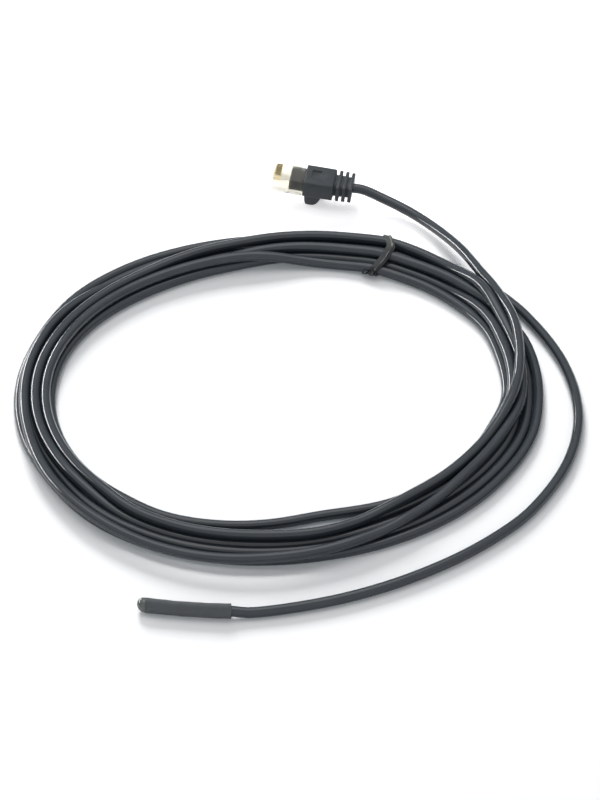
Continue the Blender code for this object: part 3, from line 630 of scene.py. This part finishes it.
def rounded_section(x, width, height, middle, corner, steps=5):
    """A ring across the x axis: an upright rectangle with round corners."""
    corner = min(corner, width / 2, height / 2)
    ring = []
    for quarter, (side, level) in enumerate(((1, 1), (-1, 1), (-1, -1), (1, -1))):
        for step in range(steps + 1):
            angle = math.pi / 2 * (quarter + step / steps)
            across = side * (width / 2 - corner) + corner * math.cos(angle)
            ring.append((x, across, middle + level * (height / 2 - corner) + corner * math.sin(angle)))
    return ring


def combine(target, tool, operation):
    """Cut a guide shape out of a piece or fuse it to the piece, then drop the guide."""
    step = target.modifiers.new("combine", "BOOLEAN")
    step.operation = operation
    step.solver = "EXACT"
    step.object = tool
    data = evaluated_mesh(target)
    target.modifiers.clear()
    old = target.data
    target.data = data
    bpy.data.meshes.remove(old)
    bpy.data.objects.remove(tool, do_unlink=True)
    shade_crisp(data)


def dress(piece, finish):
    """Give a piece its only finish, and put it from the plug's directions into its place."""
    piece.data.materials.clear()
    piece.data.materials.append(finish)
    piece.data.transform(plug_frame)


print("mesh helpers ready")

# %% [markdown]
# ## Twist tie
# A twist tie is a flat ribbon of black plastic with a steel wire inside. It goes round the turns,
# bridges the hollows between strands, and its two ends are twisted together on the inner side. Its
# loop is therefore the outline that a stretched band would take round the seven strands: their
# convex hull. The hull comes straight from the settled turns, so the band always touches them. The
# ribbon's section, a thin film with a round ridge over the wire, nearer to one edge, is swept along
# it. The band was pulled tight by hand, so it doesn't stay in one plane: it leans across the strands.
# Its outer end has a painted highlight: the finish makes the ribbon paler there, by its place, where light
# from behind catches it.


# %% The band's line round the strands
BAND_COUNT = 120
BAND_CLEAR = 0.06
HULL_STEPS = 720


def bundle_at(angle):
    """Where the strands lie in the plane at one angle: millimetres out, and up."""
    found = []
    for turn in range(len(TURN_PLAN) - 1):
        at = angle + 360 * turn
        if turn_angles[0] <= at <= turn_angles[-1]:
            found.append((np.interp(at, turn_angles, turn_radii), np.interp(at, turn_angles, turn_heights)))
    return np.array(found)


def band_line(angle):
    """An evenly spaced line round the strands, like a stretched band, and its outward directions."""
    strands = bundle_at(angle)
    hull = []
    for step in range(HULL_STEPS):
        turn = 2 * math.pi * step / HULL_STEPS
        out = np.array([math.cos(turn), math.sin(turn)])
        hull.append(strands[np.argmax(strands @ out)] + out * (LEAD_RADIUS * MM + BAND_CLEAR))
    hull = np.array(hull + hull[:1])
    along = np.concatenate([[0], np.cumsum(np.linalg.norm(np.diff(hull, axis=0), axis=1))])
    even = np.linspace(0, along[-1], BAND_COUNT, endpoint=False)
    line = np.stack([np.interp(even, along, hull[:, axis]) for axis in range(2)], 1)
    ahead = np.roll(line, -1, axis=0) - np.roll(line, 1, axis=0)
    ahead /= np.linalg.norm(ahead, axis=1)[:, None]
    return line, np.stack([ahead[:, 1], -ahead[:, 0]], 1)


band, band_out = band_line(TIE_ANGLE)
print("band round the bundle:", round(float(np.linalg.norm(np.diff(band, axis=0), axis=1).sum()), 1), "mm")


# %% The ribbon and its twisted ends
RIBBON_SECTION = (
    (-1.50, 0.02), (-1.42, 0.00), (-0.50, 0.00), (0.50, 0.00), (1.42, 0.00), (1.50, 0.02), (1.52, 0.12),
    (1.46, 0.22), (1.00, 0.25), (0.20, 0.25), (-0.22, 0.27), (-0.34, 0.42), (-0.50, 0.58), (-0.70, 0.64),
    (-0.90, 0.58), (-1.06, 0.42), (-1.18, 0.27), (-1.46, 0.20), (-1.52, 0.12),
)
RIBBON_SPREAD = 1.12
RIBBON_SHIFT = -0.3
TOP_LEAN = -3.0
OUTER_LEAN = 2.6
OUTER_START = 0.55
INNER_LEAN = -0.6
BAND_SLACK = 0.9
TIE_RADIUS = 88
TAIL_START = -2.4
TAIL_LENGTH = 5.4
TAIL_TURNS = 1.0
TAIL_TILT = math.radians(20)
TAIL_INWARD = 0.55
TAIL_BEND = 0.25
TAIL_OFF_MIDDLE = 0.34
TAIL_HALF_THICKNESS = 0.24
TAIL_HALF_WIDTH = 1.05
TAIL_NARROWS = 0.35
TAIL_ROOT_WIDENS = 0.2
TAIL_STEPS = 36
TAIL_CORNERS = 12


def tie_place(radius, height, along):
    """A point in the tie's plane, or beside it: along is measured along the lead."""
    angle = TIE_ANGLE + math.degrees(along / radius)
    return coil_point(angle, radius, height)


def lean_at(part, up):
    """Millimetres along the lead, from the part of the way outward and how far the ribbon faces up."""
    over_top = math.sin(math.pi * part ** 0.9) * min(1.0, max(0.0, 2 * up))
    outside = max(0.0, part - OUTER_START) / (1 - OUTER_START)
    return TOP_LEAN * over_top + OUTER_LEAN * outside + INNER_LEAN * (1 - part) ** 2


def tie_rings():
    """The band's rings. Where it leans it follows the strands there, and outside it stands off a little."""
    low, high = float(band[:, 0].min()), float(band[:, 0].max())
    slices = {}
    rings = []
    for index, out in enumerate(band_out):
        lean = lean_at((band[index, 0] - low) / (high - low), out[1])
        step = round(lean * 4) / 4
        if step not in slices:
            slices[step] = band_line(TIE_ANGLE + math.degrees(step / TIE_RADIUS))[0]
        slack = BAND_SLACK * max(0.0, out[0]) ** 4
        ring = []
        for across, rise in RIBBON_SECTION:
            radius, height = slices[step][index] + out * (rise + slack)
            ring.append(tie_place(radius, height, RIBBON_SPREAD * across + RIBBON_SHIFT + lean))
        rings.append(ring)
    return rings


def tail_strips(root_radius, root_height):
    """The two ends, wound round each other and bent down along the inner side of the turns."""
    strips = []
    for side in (0.0, math.pi):
        rings = []
        for step in range(TAIL_STEPS + 1):
            part = step / TAIL_STEPS
            along = TAIL_START + part * TAIL_LENGTH
            inward = root_radius - TAIL_INWARD - TAIL_BEND * math.sin(part * 2.6)
            middle = np.array((inward, root_height + 0.5 * part - 0.9 * part ** 2))
            turn = side + TAIL_TILT + 2 * math.pi * TAIL_TURNS * part
            out = np.array([math.cos(turn), math.sin(turn)])
            flat = np.array([-out[1], out[0]])
            wide = TAIL_HALF_WIDTH - TAIL_NARROWS * part + TAIL_ROOT_WIDENS * (1 - min(1.0, part * 4))
            ring = []
            for corner in range(TAIL_CORNERS):
                at = 2 * math.pi * corner / TAIL_CORNERS
                thick = TAIL_OFF_MIDDLE + TAIL_HALF_THICKNESS * math.cos(at)
                radius, height = middle + out * thick + flat * wide * math.sin(at)
                ring.append(tie_place(radius, height, along))
            rings.append(ring)
        strips.append(rings)
    return strips


# The tie's painted highlight on its outer end lies between these two places along Y.
LIT_END_FROM = 0.192
LIT_END_TO = 0.198


def tie_finish():
    finish = Finish("tie_ribbon_plastic", Specular_IOR_Level=0.25)
    place = finish.place()
    clouds = finish.noise(place, 240.0, 3.0)
    grain = finish.noise(place, 2600.0, 3.0)
    # Painted highlight: the ribbon turns paler towards its outer end, by place, not by wear.
    split = finish.node("ShaderNodeMapRange", {}, {
        "Value": finish.axis(place, "Y"), "From Min": LIT_END_FROM, "From Max": LIT_END_TO})
    dark = finish.blend(clouds, (0.010, 0.013, 0.016), (0.026, 0.030, 0.033))
    painted_lit_end = finish.blend(clouds, (0.040, 0.045, 0.040), (0.072, 0.078, 0.070))
    finish.feed("Base Color", finish.blend(split, dark, painted_lit_end))
    finish.feed("Roughness", 0.12 + 0.14 * grain)
    finish.bump(0.5 * grain + 0.5 * clouds, 0.00010)
    return finish.material


tie_shape = bmesh.new()
skin(tie_shape, tie_rings(), closed=True)
inner_side = int(np.argmin(band[:, 0]))
for strip in tail_strips(float(band[inner_side, 0]), float(band[inner_side, 1])):
    skin(tie_shape, strip)
tie = add_piece("twist_tie_ribbon", tie_shape, tie_finish())
print("tie:", len(tie.data.polygons), "faces")

# %% [markdown]
# ## Probe
# The probe is the lead's stripped end with its thermistor, covered by one piece of black heat-shrink
# tubing, and closed at the tip with a drop of potting resin. Shrink tubing takes the shape of what is
# under it: it hugs the jacket at the lead's side, sinks a little between the joints and keeps a
# square, slightly wavy cut. A profile of radii turned round the bent axis gives all of that, and a
# few slow waves round and along it take away the look of a machined pipe. The sleeve's open end and
# the lead just past it sag a little towards the front, so the finished pieces are bent together.

# %% Heat-shrink sleeve
PROBE_SIDES = 48
CUT_START = 15.4
CUT_WAVE = 0.05
OUTSIDE_FROM = 2.3
SLEEVE_PROFILE = (
    (-12.95, 2.42), (-12.86, 2.52), (-12.60, 2.56), (-10.5, 2.55), (-8.0, 2.53), (-5.5, 2.50),
    (-3.5, 2.47), (-1.0, 2.49), (1.5, 2.52), (4.0, 2.50), (6.5, 2.49), (8.5, 2.53), (11.0, 2.55),
    (13.5, 2.55), (15.2, 2.57), (15.58, 2.56), (15.65, 2.50), (15.66, 2.30), (15.64, 2.02),
    (15.50, 1.92), (14.6, 1.90), (12.5, 1.92), (9.0, 2.15), (-12.6, 2.15), (-12.95, 2.20),
)


def fine_profile(profile, most):
    """A profile with no step along x longer than most."""
    fine = []
    for (xa, ra), (xb, rb) in zip(profile, profile[1:]):
        parts = max(1, math.ceil(abs(xb - xa) / most))
        fine += [(xa + (xb - xa) * i / parts, ra + (rb - ra) * i / parts) for i in range(parts)]
    return fine + [profile[-1]]


def turned_on_probe(profile, wave):
    """Rings round the probe's bent axis, from a profile in millimetres."""
    rings = []
    for x, radius in profile:
        ring = []
        for step in range(PROBE_SIDES):
            angle = 2 * math.pi * step / PROBE_SIDES
            away = radius + wave(x, angle, radius)
            shift = CUT_WAVE * math.sin(3 * angle + 1.0) if x > CUT_START else 0.0
            side, up = away * math.cos(angle), away * math.sin(angle)
            ring.append(probe_point((x + shift) / MM, side / MM, up / MM))
        rings.append(ring)
    return rings


SAG = 0.0009
SAG_END = 0.045
SAG_BEHIND = 0.011


def let_sag(piece):
    """Bend the sleeve's open end, and the lead just past it, towards the front. The coil stays."""
    for corner in piece.data.vertices:
        x, y = corner.co.x, corner.co.y
        if x < SAG_END and y < SAG_BEHIND:
            inside = 1 - max(0.0, PROBE_END - x) / PROBE_LENGTH
            past = min(1.0, max(0.0, (SAG_END - x) / (SAG_END - PROBE_END)))
            corner.co.y -= SAG * max(0.0, inside) * past * past * (3 - 2 * past)


def sleeve_wave(x, angle, radius):
    """Slow waves on the outside only, in millimetres."""
    if radius < OUTSIDE_FROM:
        return 0.0
    return 0.022 * math.sin(1.1 * x + 2 * angle) + 0.016 * math.sin(0.55 * x - 3 * angle + 2.0)


def shrink_finish():
    finish = Finish("heat_shrink_polyolefin", Specular_IOR_Level=0.3)
    place = finish.place()
    clouds = finish.noise(place, 260.0, 4.0)
    grain = finish.noise(place, 3200.0, 3.0)
    pimples = finish.noise(place, 1300.0, 2.0)
    finish.feed("Base Color", finish.blend(clouds, (0.056, 0.062, 0.067), (0.078, 0.085, 0.091)))
    finish.feed("Roughness", 0.54 + 0.16 * grain)
    finish.bump(0.6 * pimples + 0.4 * grain, 0.00005)
    return finish.material


sleeve_rings = turned_on_probe(fine_profile(SLEEVE_PROFILE, 0.8), sleeve_wave)
sleeve = lofted("heat_shrink_sleeve", sleeve_rings, shrink_finish(), closed=True)
print("sleeve:", len(sleeve.data.polygons), "faces")


# %% Resin tip
DOME_STEPS = 14
DOME_START = -12.95
DOME_LENGTH = 2.7
DOME_RADIUS = 2.50


def tip_profile():
    """A full drop, a little squarer than a half ball, with its stem inside the sleeve."""
    dome = []
    for step in range(DOME_STEPS + 1):
        angle = math.pi / 2 * step / DOME_STEPS
        x = DOME_START - DOME_LENGTH * math.cos(angle) ** 0.86
        dome.append((x, DOME_RADIUS * math.sin(angle) ** 0.92))
    return dome + [(-12.80, 2.40), (-12.60, 2.13), (-9.8, 2.13), (-6.75, 2.13), (-6.75, 1.30),
                   (-12.35, 1.30), (-12.35, 0.0)]


def plain_finish(name, colours, gloss, clouds, grain, depth, **constants):
    """Two close colours in clouds, and a fine grain in gloss and relief."""
    finish = Finish(name, **constants)
    place = finish.place()
    cloudy = finish.noise(place, *clouds)
    grainy = finish.noise(place, *grain)
    finish.feed("Base Color", finish.blend(cloudy, *colours))
    finish.feed("Roughness", gloss[0] + gloss[1] * grainy)
    finish.bump(grainy, depth)
    return finish.material


resin = plain_finish(
    "potting_resin_grey", ((0.050, 0.060, 0.056), (0.085, 0.098, 0.092)), (0.14, 0.12),
    (420.0, 4.0), (900.0, 2.0), 0.00005, Specular_IOR_Level=0.6)
tip = lofted("resin_tip", turned_on_probe(tip_profile(), lambda x, angle, radius: 0.0), resin)
for piece in (lead, sleeve, tip):
    let_sag(piece)
print("tip:", len(tip.data.polygons), "faces")

# %% [markdown]
# ## Clear plug body
# The 8-position modular plug is one clear polycarbonate moulding: a block with a rounded nose, eight
# narrow slots at the nose for the contacts, a wire channel below them, a square mouth at the back,
# and the springy latch lever underneath. Clear plastic is read by its inner edges, so the inside is
# really cut out, as a mould core would, and every edge has a small round that catches light.

# %% Body, latch and shoulders
EDGE = 0.00012
BODY_CORNER = 0.0004
WALL = 0.0009
LEVER_WIDTH = 0.0032
SHOULDER_WIDTH = 0.0060
CHANNEL_WIDTH = 0.00812


def plug_section(x, inset):
    return rounded_section(
        x, BODY_WIDTH - 2 * inset, BODY_HEIGHT - 2 * inset, BODY_HEIGHT / 2, BODY_CORNER)


body = lofted("clear_plug_body", [
    plug_section(0.0, 0.0005), plug_section(0.00012, 0.0003), plug_section(0.0005, 0.0),
    plug_section(BODY_LENGTH - EDGE, 0.0), plug_section(BODY_LENGTH, EDGE),
])
lever = [
    (0.0008, 0.00045), (0.0008, -0.00054), (0.0012, -0.00098), (0.0026, -0.00108), (0.0163, -0.0033),
    (0.0163, -0.0024), (0.0035, -0.00036), (0.00275, -0.00015), (0.0026, 0.00045),
]
combine(body, prism("lever_guide", lever, LEVER_WIDTH / 2, EDGE), "UNION")
shoulder = [(0.0062, -0.00157), (0.0078, -0.00183), (0.0078, -0.0012), (0.0062, -0.00094)]
combine(body, prism("shoulder_guide", shoulder, SHOULDER_WIDTH / 2, EDGE), "UNION")
mouth = [(0.0061, WALL), (0.0129, WALL), (0.0129, BODY_HEIGHT - WALL), (0.0061, BODY_HEIGHT - WALL)]
combine(body, prism("mouth_guide", mouth, BODY_WIDTH / 2 - WALL, EDGE), "DIFFERENCE")
channel = [(0.0012, 0.0023), (0.0063, 0.0023), (0.0063, 0.0035), (0.0012, 0.0035)]
combine(body, prism("channel_guide", channel, CHANNEL_WIDTH / 2, EDGE / 2), "DIFFERENCE")
print("body, lever, mouth and channel:", len(body.data.polygons), "faces")

# %% Slots for the contacts
CONTACT_COUNT = 8
CONTACT_PITCH = 0.001016
SLOT_WIDTH = 0.00059
slot = [(-0.0003, 0.0050), (0.00098, 0.0050), (0.00098, 0.0034), (0.00362, 0.0034), (0.00362, 0.0070),
        (-0.0003, 0.0070)]
for number in range(CONTACT_COUNT):
    across = (number - (CONTACT_COUNT - 1) / 2) * CONTACT_PITCH
    combine(body, prism("slot_guide", slot, SLOT_WIDTH / 2, middle=across), "DIFFERENCE")
print("with slots:", len(body.data.polygons), "faces")

# %% [markdown]
# Clear plastic has almost no colour of its own. It is seen by what it bends and reflects, with a
# trace of flow marks and a faint warm cast where it is thick. A Principled shader with full
# transmission does that, with a low index, because many walls lie behind each other and their
# reflections would add up to a white veil. Nearly half of it is plain see-through, so that the floor
# under the plug isn't black: light that goes through real clear plastic lights the floor again, and
# a path tracer finds that light only slowly. The slight frost keeps the boot's tongue behind the
# plastic free of speckles.


# %% Clear finish
def clear_finish():
    finish = Finish(
        "clear_polycarbonate", IOR=1.22, Transmission_Weight=1.0, Specular_IOR_Level=0.5, Alpha=0.55)
    place = finish.place()
    flow = finish.noise(place, 180.0, 3.0)
    fine = finish.noise(place, 1400.0, 3.0)
    finish.feed("Base Color", finish.blend(flow, (0.86, 0.83, 0.71), (0.92, 0.90, 0.80)))
    finish.feed("Roughness", 0.28 + 0.04 * fine)
    finish.bump(flow, 0.00003)
    return finish.material


dress(body, clear_finish())
print("made", body.data.materials[0].name)

# %% [markdown]
# ## Boot
# The boot is one soft black moulding. Its block covers the back of the plug, a hood under it shields
# the latch's tip from snagging, and behind it the neck gets thinner between three ribs, so that the
# lead bends gently. The block, neck, hood and the tongue that fills the plug's mouth are skinned and
# fused. The three ribs are one shape at an even spacing that gets slightly smaller, which is a job for
# Geometry Nodes: one rib is instanced on three points and scaled by its index.


# %% Block, neck and hood
BLOCK_WIDTH = 0.0120
BLOCK_HEIGHT = 0.0066
TONGUE_WIDTH = 0.00928
TONGUE_HEIGHT = 0.0042
HOOD_WIDTH = 0.0092
HOOD_ROUND = 0.0007
HOLLOW_WIDTH = 0.0062
HOLLOW_TOP = -0.00045
BORE_RADIUS = 0.00198
BORE_SIDES = 32
PASSAGE_WIDTH = 0.00242


def boot_core():
    """Rings from the tongue's end over the block to the neck's end."""
    middle = BODY_HEIGHT / 2
    rings = [rounded_section(x, TONGUE_WIDTH, TONGUE_HEIGHT, middle, 0.0004) for x in (0.0072, BLOCK_START)]
    for x, inset, corner in (
        (BLOCK_START, 0.00030, 0.0006), (0.01265, 0.00012, 0.0007), (0.0128, 0.00002, 0.0008),
        (0.0130, 0.0, 0.0008), (0.0233, 0.0, 0.0008), (0.0236, 0.00010, 0.0008), (0.02375, 0.00025, 0.0008),
        (BLOCK_END, 0.0005, 0.0008),
    ):
        rings.append(rounded_section(x, BLOCK_WIDTH - 2 * inset, BLOCK_HEIGHT - 2 * inset, middle, corner))
    for x, width, height in ((BLOCK_END, 0.0094, 0.0055), (0.0241, 0.0090, 0.0053), (0.0304, 0.0086, 0.0052)):
        rings.append(rounded_section(x, width, height, middle, 0.0020))
    return rings


def bore_ring(x):
    angles = [2 * math.pi * step / BORE_SIDES for step in range(BORE_SIDES)]
    return [(x, BORE_RADIUS * math.cos(a), BODY_HEIGHT / 2 + BORE_RADIUS * math.sin(a)) for a in angles]


boot = lofted("moulded_boot", boot_core())
hood_view = [
    (0.0129, 0.0026), (0.0134, -0.0030), (0.0139, -HOOD_DEPTH), (0.0166, -HOOD_DEPTH), (0.0180, -0.0038),
    (0.0190, -0.0022), (0.0198, 0.0), (0.0198, 0.0026),
]
combine(boot, prism("hood_guide", hood_view, HOOD_WIDTH / 2, HOOD_ROUND), "UNION")
hollow_view = [
    (0.0122, HOLLOW_TOP), (0.0122, WALL - HOOD_DEPTH), (0.0164, WALL - HOOD_DEPTH), (0.01765, HOLLOW_TOP)]
combine(boot, prism("hollow_guide", hollow_view, HOLLOW_WIDTH / 2, 0.0002), "DIFFERENCE")
combine(boot, lofted("bore_guide", [bore_ring(0.0133), bore_ring(0.0316)]), "DIFFERENCE")
passage = [(0.0069, 0.0026), (0.0136, 0.0026), (0.0136, 0.0040), (0.0069, 0.0040)]
combine(boot, prism("passage_guide", passage, PASSAGE_WIDTH / 2), "DIFFERENCE")
dish = bmesh.new()
skin(dish, [[(x, 0.0027, 0.0060), (x, 0.0027, 0.0076), (x, -0.0020, 0.0076), (x, -0.0020, 0.00662)]
            for x in (0.0149, 0.0185)])
round_edges(dish, 0.0003)
combine(boot, add_piece("dish_guide", dish), "DIFFERENCE")
print("boot:", len(boot.data.polygons), "faces")


# %% Three ribs
RIB_COUNT = 3
RIB_PITCH = 0.0023
RIB_SHRINK = 0.017
RIB_GAP = 0.0011
RIB_THICKNESS = 0.0012
RIB_HEIGHT = 0.0064
RIB_BORE = 0.0040


def rib_mesh():
    """One rib: a rounded plate with a bore, its edges rounded, in the plug's directions."""
    rings = []
    for x, inset in (
        (0.0, 0.00014), (0.00008, 0.00004), (0.0002, 0.0), (0.0010, 0.0), (0.00112, 0.00004),
        (RIB_THICKNESS, 0.00014),
    ):
        rings.append(rounded_section(x, BLOCK_WIDTH - 2 * inset, RIB_HEIGHT - 2 * inset, 0.0, 0.0009, 9))
    for x in (RIB_THICKNESS, 0.0):
        rings.append(rounded_section(x, RIB_BORE, RIB_BORE, 0.0, RIB_BORE / 2, 9))
    return lofted("rib_seed", rings, closed=True)


def rib_tree(rib, finish):
    tree = Tree("boot_ribs", {
        "Rib": ("NodeSocketObject", None), "Count": ("NodeSocketInt", RIB_COUNT),
        "Pitch": ("NodeSocketFloat", RIB_PITCH), "Shrink": ("NodeSocketFloat", RIB_SHRINK)})
    step = tree.node("ShaderNodeCombineXYZ", {}, {0: tree.start.outputs["Pitch"]})
    row = tree.node("GeometryNodeMeshLine", {"mode": "OFFSET"}, {
        "Count": tree.start.outputs["Count"], "Offset": step.outputs[0]})
    source = tree.node("GeometryNodeObjectInfo", {"transform_space": "ORIGINAL"}, {
        0: tree.start.outputs["Rib"]})
    index = tree.node("GeometryNodeInputIndex")
    less = tree.node("ShaderNodeMath", {"operation": "MULTIPLY"}, {
        0: index.outputs[0], 1: tree.start.outputs["Shrink"]})
    size = tree.node("ShaderNodeMath", {"operation": "SUBTRACT"}, {0: 1.0, 1: less.outputs[0]})
    scale = tree.node("ShaderNodeCombineXYZ", {}, {0: 1.0, 1: size.outputs[0], 2: size.outputs[0]})
    ribs = tree.node("GeometryNodeInstanceOnPoints", {}, {
        "Points": row.outputs[0], "Instance": source.outputs["Geometry"], "Scale": scale.outputs[0]})
    tree.finish(ribs.outputs[0], finish)
    return tree


boot_plastic = plain_finish(
    "boot_soft_pvc", ((0.019, 0.023, 0.027), (0.031, 0.037, 0.043)), (0.40, 0.16),
    (220.0, 4.0), (3000.0, 4.0), 0.00004, Specular_IOR_Level=0.45)
dress(boot, boot_plastic)
rib = rib_mesh()
ribs = rib_tree(rib, boot_plastic).grow("boot_ribs", line_mesh("rib_line", ((0, 0, 0), (1, 0, 0))), {
    "Rib": rib, "Count": RIB_COUNT, "Pitch": RIB_PITCH, "Shrink": RIB_SHRINK})
bpy.data.objects.remove(rib, do_unlink=True)
ribs.data.transform(plug_frame @ Matrix.Translation((BLOCK_END + RIB_GAP, 0, BODY_HEIGHT / 2)))

# %% [markdown]
# ## Finishes of the pieces that stay as they are
# The contacts, the two insulated cores at each end, the splice sleeves, the thermistor's bead and its
# wires are already right in shape, so they only get a finish. Gold plating on a stamped blade keeps
# fine drawing marks across it. Insulation is smooth plastic with a slight sheen.


# %% Gold, insulation, bead and wire
def paint(names, finish_name, dark, light, rough, metal=0.0):
    """Put one small-part finish on solids that keep their shape."""
    finish = plain_finish(
        finish_name, (dark, light), (rough, 0.12), (900.0, 3.0), (4500.0, 3.0), 0.00002, Metallic=metal)
    for name in names:
        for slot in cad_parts[name].material_slots:
            slot.material = finish
    print(finish.name, "on", len(names), "pieces")


contacts = [f"contact_{number + 1}" for number in range(CONTACT_COUNT)]
paint(contacts, "gold_plate", (0.52, 0.44, 0.28), (0.74, 0.65, 0.45), 0.22, 1.0)
paint(("probe_core_a", "plug_core_a"), "ivory_core", (0.66, 0.62, 0.52), (0.76, 0.72, 0.62), 0.34)
paint(("probe_core_b", "plug_core_b"), "white_core", (0.70, 0.70, 0.67), (0.82, 0.82, 0.80), 0.34)
paint(("splice_sleeve_a", "splice_sleeve_b"), "splice_film", (0.72, 0.72, 0.68), (0.84, 0.84, 0.8), 0.4)
paint(("bead_lead_a", "bead_lead_b"), "tinned_copper", (0.60, 0.60, 0.60), (0.78, 0.78, 0.79), 0.22, 1.0)
paint(("thermistor_bead",), "bead_epoxy", (0.014, 0.014, 0.015), (0.028, 0.028, 0.03), 0.22)

# %% [markdown]
# ## What rides and what is hidden
# Every piece moves with the one body of the model. Each new piece hides the solid that it stands for. The
# pieces that sit on the lead are gathered in a list.

# %% Roles
for piece, slot_name, hidden in (
    (lead, "cable_jacket", ("probe_lead", "cable_coil", "plug_lead")),
    (tie, "tie_ribbon", ("twist_tie",)),
    (sleeve, "heat_shrink", ("probe_sleeve",)),
    (tip, "potting_resin", ("tip_seal",)),
    (body, "clear_plug", ("plug_body",)),
    (boot, "moulded_boot", ("boot",)),
    (ribs, "moulded_boot", ("boot",)),
):
    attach(piece, "root")
    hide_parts(*hidden)
on_lead = [tie, body, boot, ribs]
on_lead += [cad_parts[name] for name in (*contacts, "plug_core_a", "plug_core_b")]
tuple(probe_point(PROBE_END))
print("pieces on the lead:", len(on_lead))

# %% [markdown]
# ## Floor and light
# The part lies on a white table in a white tent, as a small product is usually photographed. The dark
# glossy jacket is drawn by what it mirrors, so lighting and mirroring are set apart. The key behind,
# the fill in front and the one at the side only light things, and the jacket doesn't mirror them. The
# lamp above does both, and gives the broad soft sheen. A narrow strip low at the left is only
# mirrored: it draws the thin bright lines along the strands. The tent's walls mirror darker near the
# table. The floor shows pure white where nothing shades it. Its own faint glow is bluish, which tints
# the shadows, and strong behind the coil, where the photo has hardly any shadow.


# %% Floor
FLOOR_GLOW = 0.05
GLOW_TINT = (0.65, 0.85, 1.0)
GLOW_BEHIND = (0.48, 0.48, 0.49)
BEHIND_FROM = 0.195
BEHIND_TO = 0.225
FLOOR_LEVEL = -0.0001


def floor_finish():
    finish = Finish("white_table", Roughness=0.9, Specular_IOR_Level=0.0)
    place = finish.place()
    clouds = finish.noise(place, 3.0, 2.0)
    finish.feed("Base Color", finish.blend(clouds, (0.86, 0.86, 0.87), (0.87, 0.87, 0.875)))
    rays = finish.tree.nodes.new("ShaderNodeLightPath")
    seen = Value(finish, rays.outputs["Is Camera Ray"]).largest(rays.outputs["Is Glossy Ray"])
    seen = seen.largest(rays.outputs["Is Transmission Ray"])
    behind = finish.node("ShaderNodeMapRange", {"interpolation_type": "SMOOTHSTEP"}, {
        "Value": finish.axis(place, "Y"), "From Min": BEHIND_FROM, "From Max": BEHIND_TO})
    colour = finish.blend(behind, [FLOOR_GLOW * part for part in GLOW_TINT], GLOW_BEHIND)
    glow = finish.node("ShaderNodeEmission", {}, {"Color": colour})
    both = finish.tree.nodes.new("ShaderNodeAddShader")
    finish.tree.links.new(finish.shader.outputs[0], both.inputs[0])
    finish.tree.links.new(glow.socket, both.inputs[1])
    mixed = finish.node("ShaderNodeMixShader", {}, {
        0: seen, 1: Value(finish, finish.shader.outputs[0]), 2: Value(finish, both.outputs[0])})
    finish.tree.links.new(mixed.socket, finish.tree.nodes["Material Output"].inputs["Surface"])
    return finish.material


floor_shape = bmesh.new()
bmesh.ops.create_grid(floor_shape, x_segments=8, y_segments=8, size=4.0)
bmesh.ops.translate(floor_shape, verts=floor_shape.verts, vec=(0, 0, FLOOR_LEVEL))
floor = add_piece("white_floor", floor_shape, floor_finish())
print("floor ready")


# %% Lamps and surroundings
def soft_lamp(name, azimuth, elevation, distance, size, watts, mirrored=True, height=0.0, spread=True):
    """A soft lamp, a square or a strip. Azimuth is in degrees from straight behind, towards the right."""
    lamp = bpy.data.lights.new(name, "AREA")
    lamp.shape = "RECTANGLE"
    lamp.size = size
    lamp.size_y = height or size
    lamp.energy = watts
    made = show(bpy.data.objects.new(name, lamp))
    turn, rise = math.radians(azimuth), math.radians(elevation)
    away = Vector((math.sin(turn) * math.cos(rise), math.cos(turn) * math.cos(rise), math.sin(rise)))
    made.location = VIEW_TARGET + away * distance
    made.rotation_euler = away.to_track_quat("Z", "Y").to_euler()
    made.visible_glossy = mirrored
    made.visible_diffuse = spread
    made.visible_transmission = False


soft_lamp("key_softbox", -10, 30, 1.6, 0.55, 29, mirrored=False)
soft_lamp("top_softbox", -20, 75, 1.6, 1.4, 9)
soft_lamp("front_fill", 175, 22, 1.6, 1.2, 9, mirrored=False)
soft_lamp("side_fill", -54, 13, 1.1, 0.95, 4.5, mirrored=False, height=0.18)
soft_lamp("strip_light", -54, 14, 1.1, 1.2, 11, height=0.14, spread=False)

# %% The tent round the table
TENT_LIGHT = 0.27
LOW_WALL = 0.3
WALL_LEAN = -0.35
world = bpy.data.worlds.new("white_studio")
world.use_nodes = True
bpy.context.scene.world = world
surround = world.node_tree
back = surround.nodes["Background"]
back.inputs["Color"].default_value = (1, 1, 1, 1)


def add_node(kind, settings, links):
    """A node of the surroundings: its settings, then its sockets. Gives back its first output."""
    made = surround.nodes.new(kind)
    for name, value in settings.items():
        setattr(made, name, value)
    for name, value in links.items():
        if isinstance(value, bpy.types.NodeSocket):
            surround.links.new(value, made.inputs[name])
        else:
            made.inputs[name].default_value = value
    return made.outputs[0]


rays = surround.nodes.new("ShaderNodeLightPath")
where = surround.nodes.new("ShaderNodeTexCoord")
split = surround.nodes.new("ShaderNodeSeparateXYZ")
surround.links.new(where.outputs["Generated"], split.inputs[0])
rise = add_node("ShaderNodeMath", {"operation": "MULTIPLY_ADD"}, {
    0: split.outputs["Y"], 1: WALL_LEAN, 2: split.outputs["Z"]})
mirrored = add_node("ShaderNodeMapRange", {"interpolation_type": "SMOOTHSTEP"}, {
    "Value": rise, "From Min": 0.05, "From Max": 0.6, "To Min": LOW_WALL, "To Max": 1.0})
seen = add_node("ShaderNodeMath", {"operation": "MAXIMUM"}, {
    0: rays.outputs["Is Camera Ray"], 1: rays.outputs["Is Transmission Ray"]})
lit = add_node("ShaderNodeMix", {}, {0: rays.outputs["Is Glossy Ray"], 2: TENT_LIGHT, 3: mirrored})
shown = add_node("ShaderNodeMix", {}, {0: seen, 2: lit, 3: 1.0})
surround.links.new(shown, back.inputs["Strength"])
bpy.context.scene.view_settings.view_transform = "Standard"
print("made", world.name)
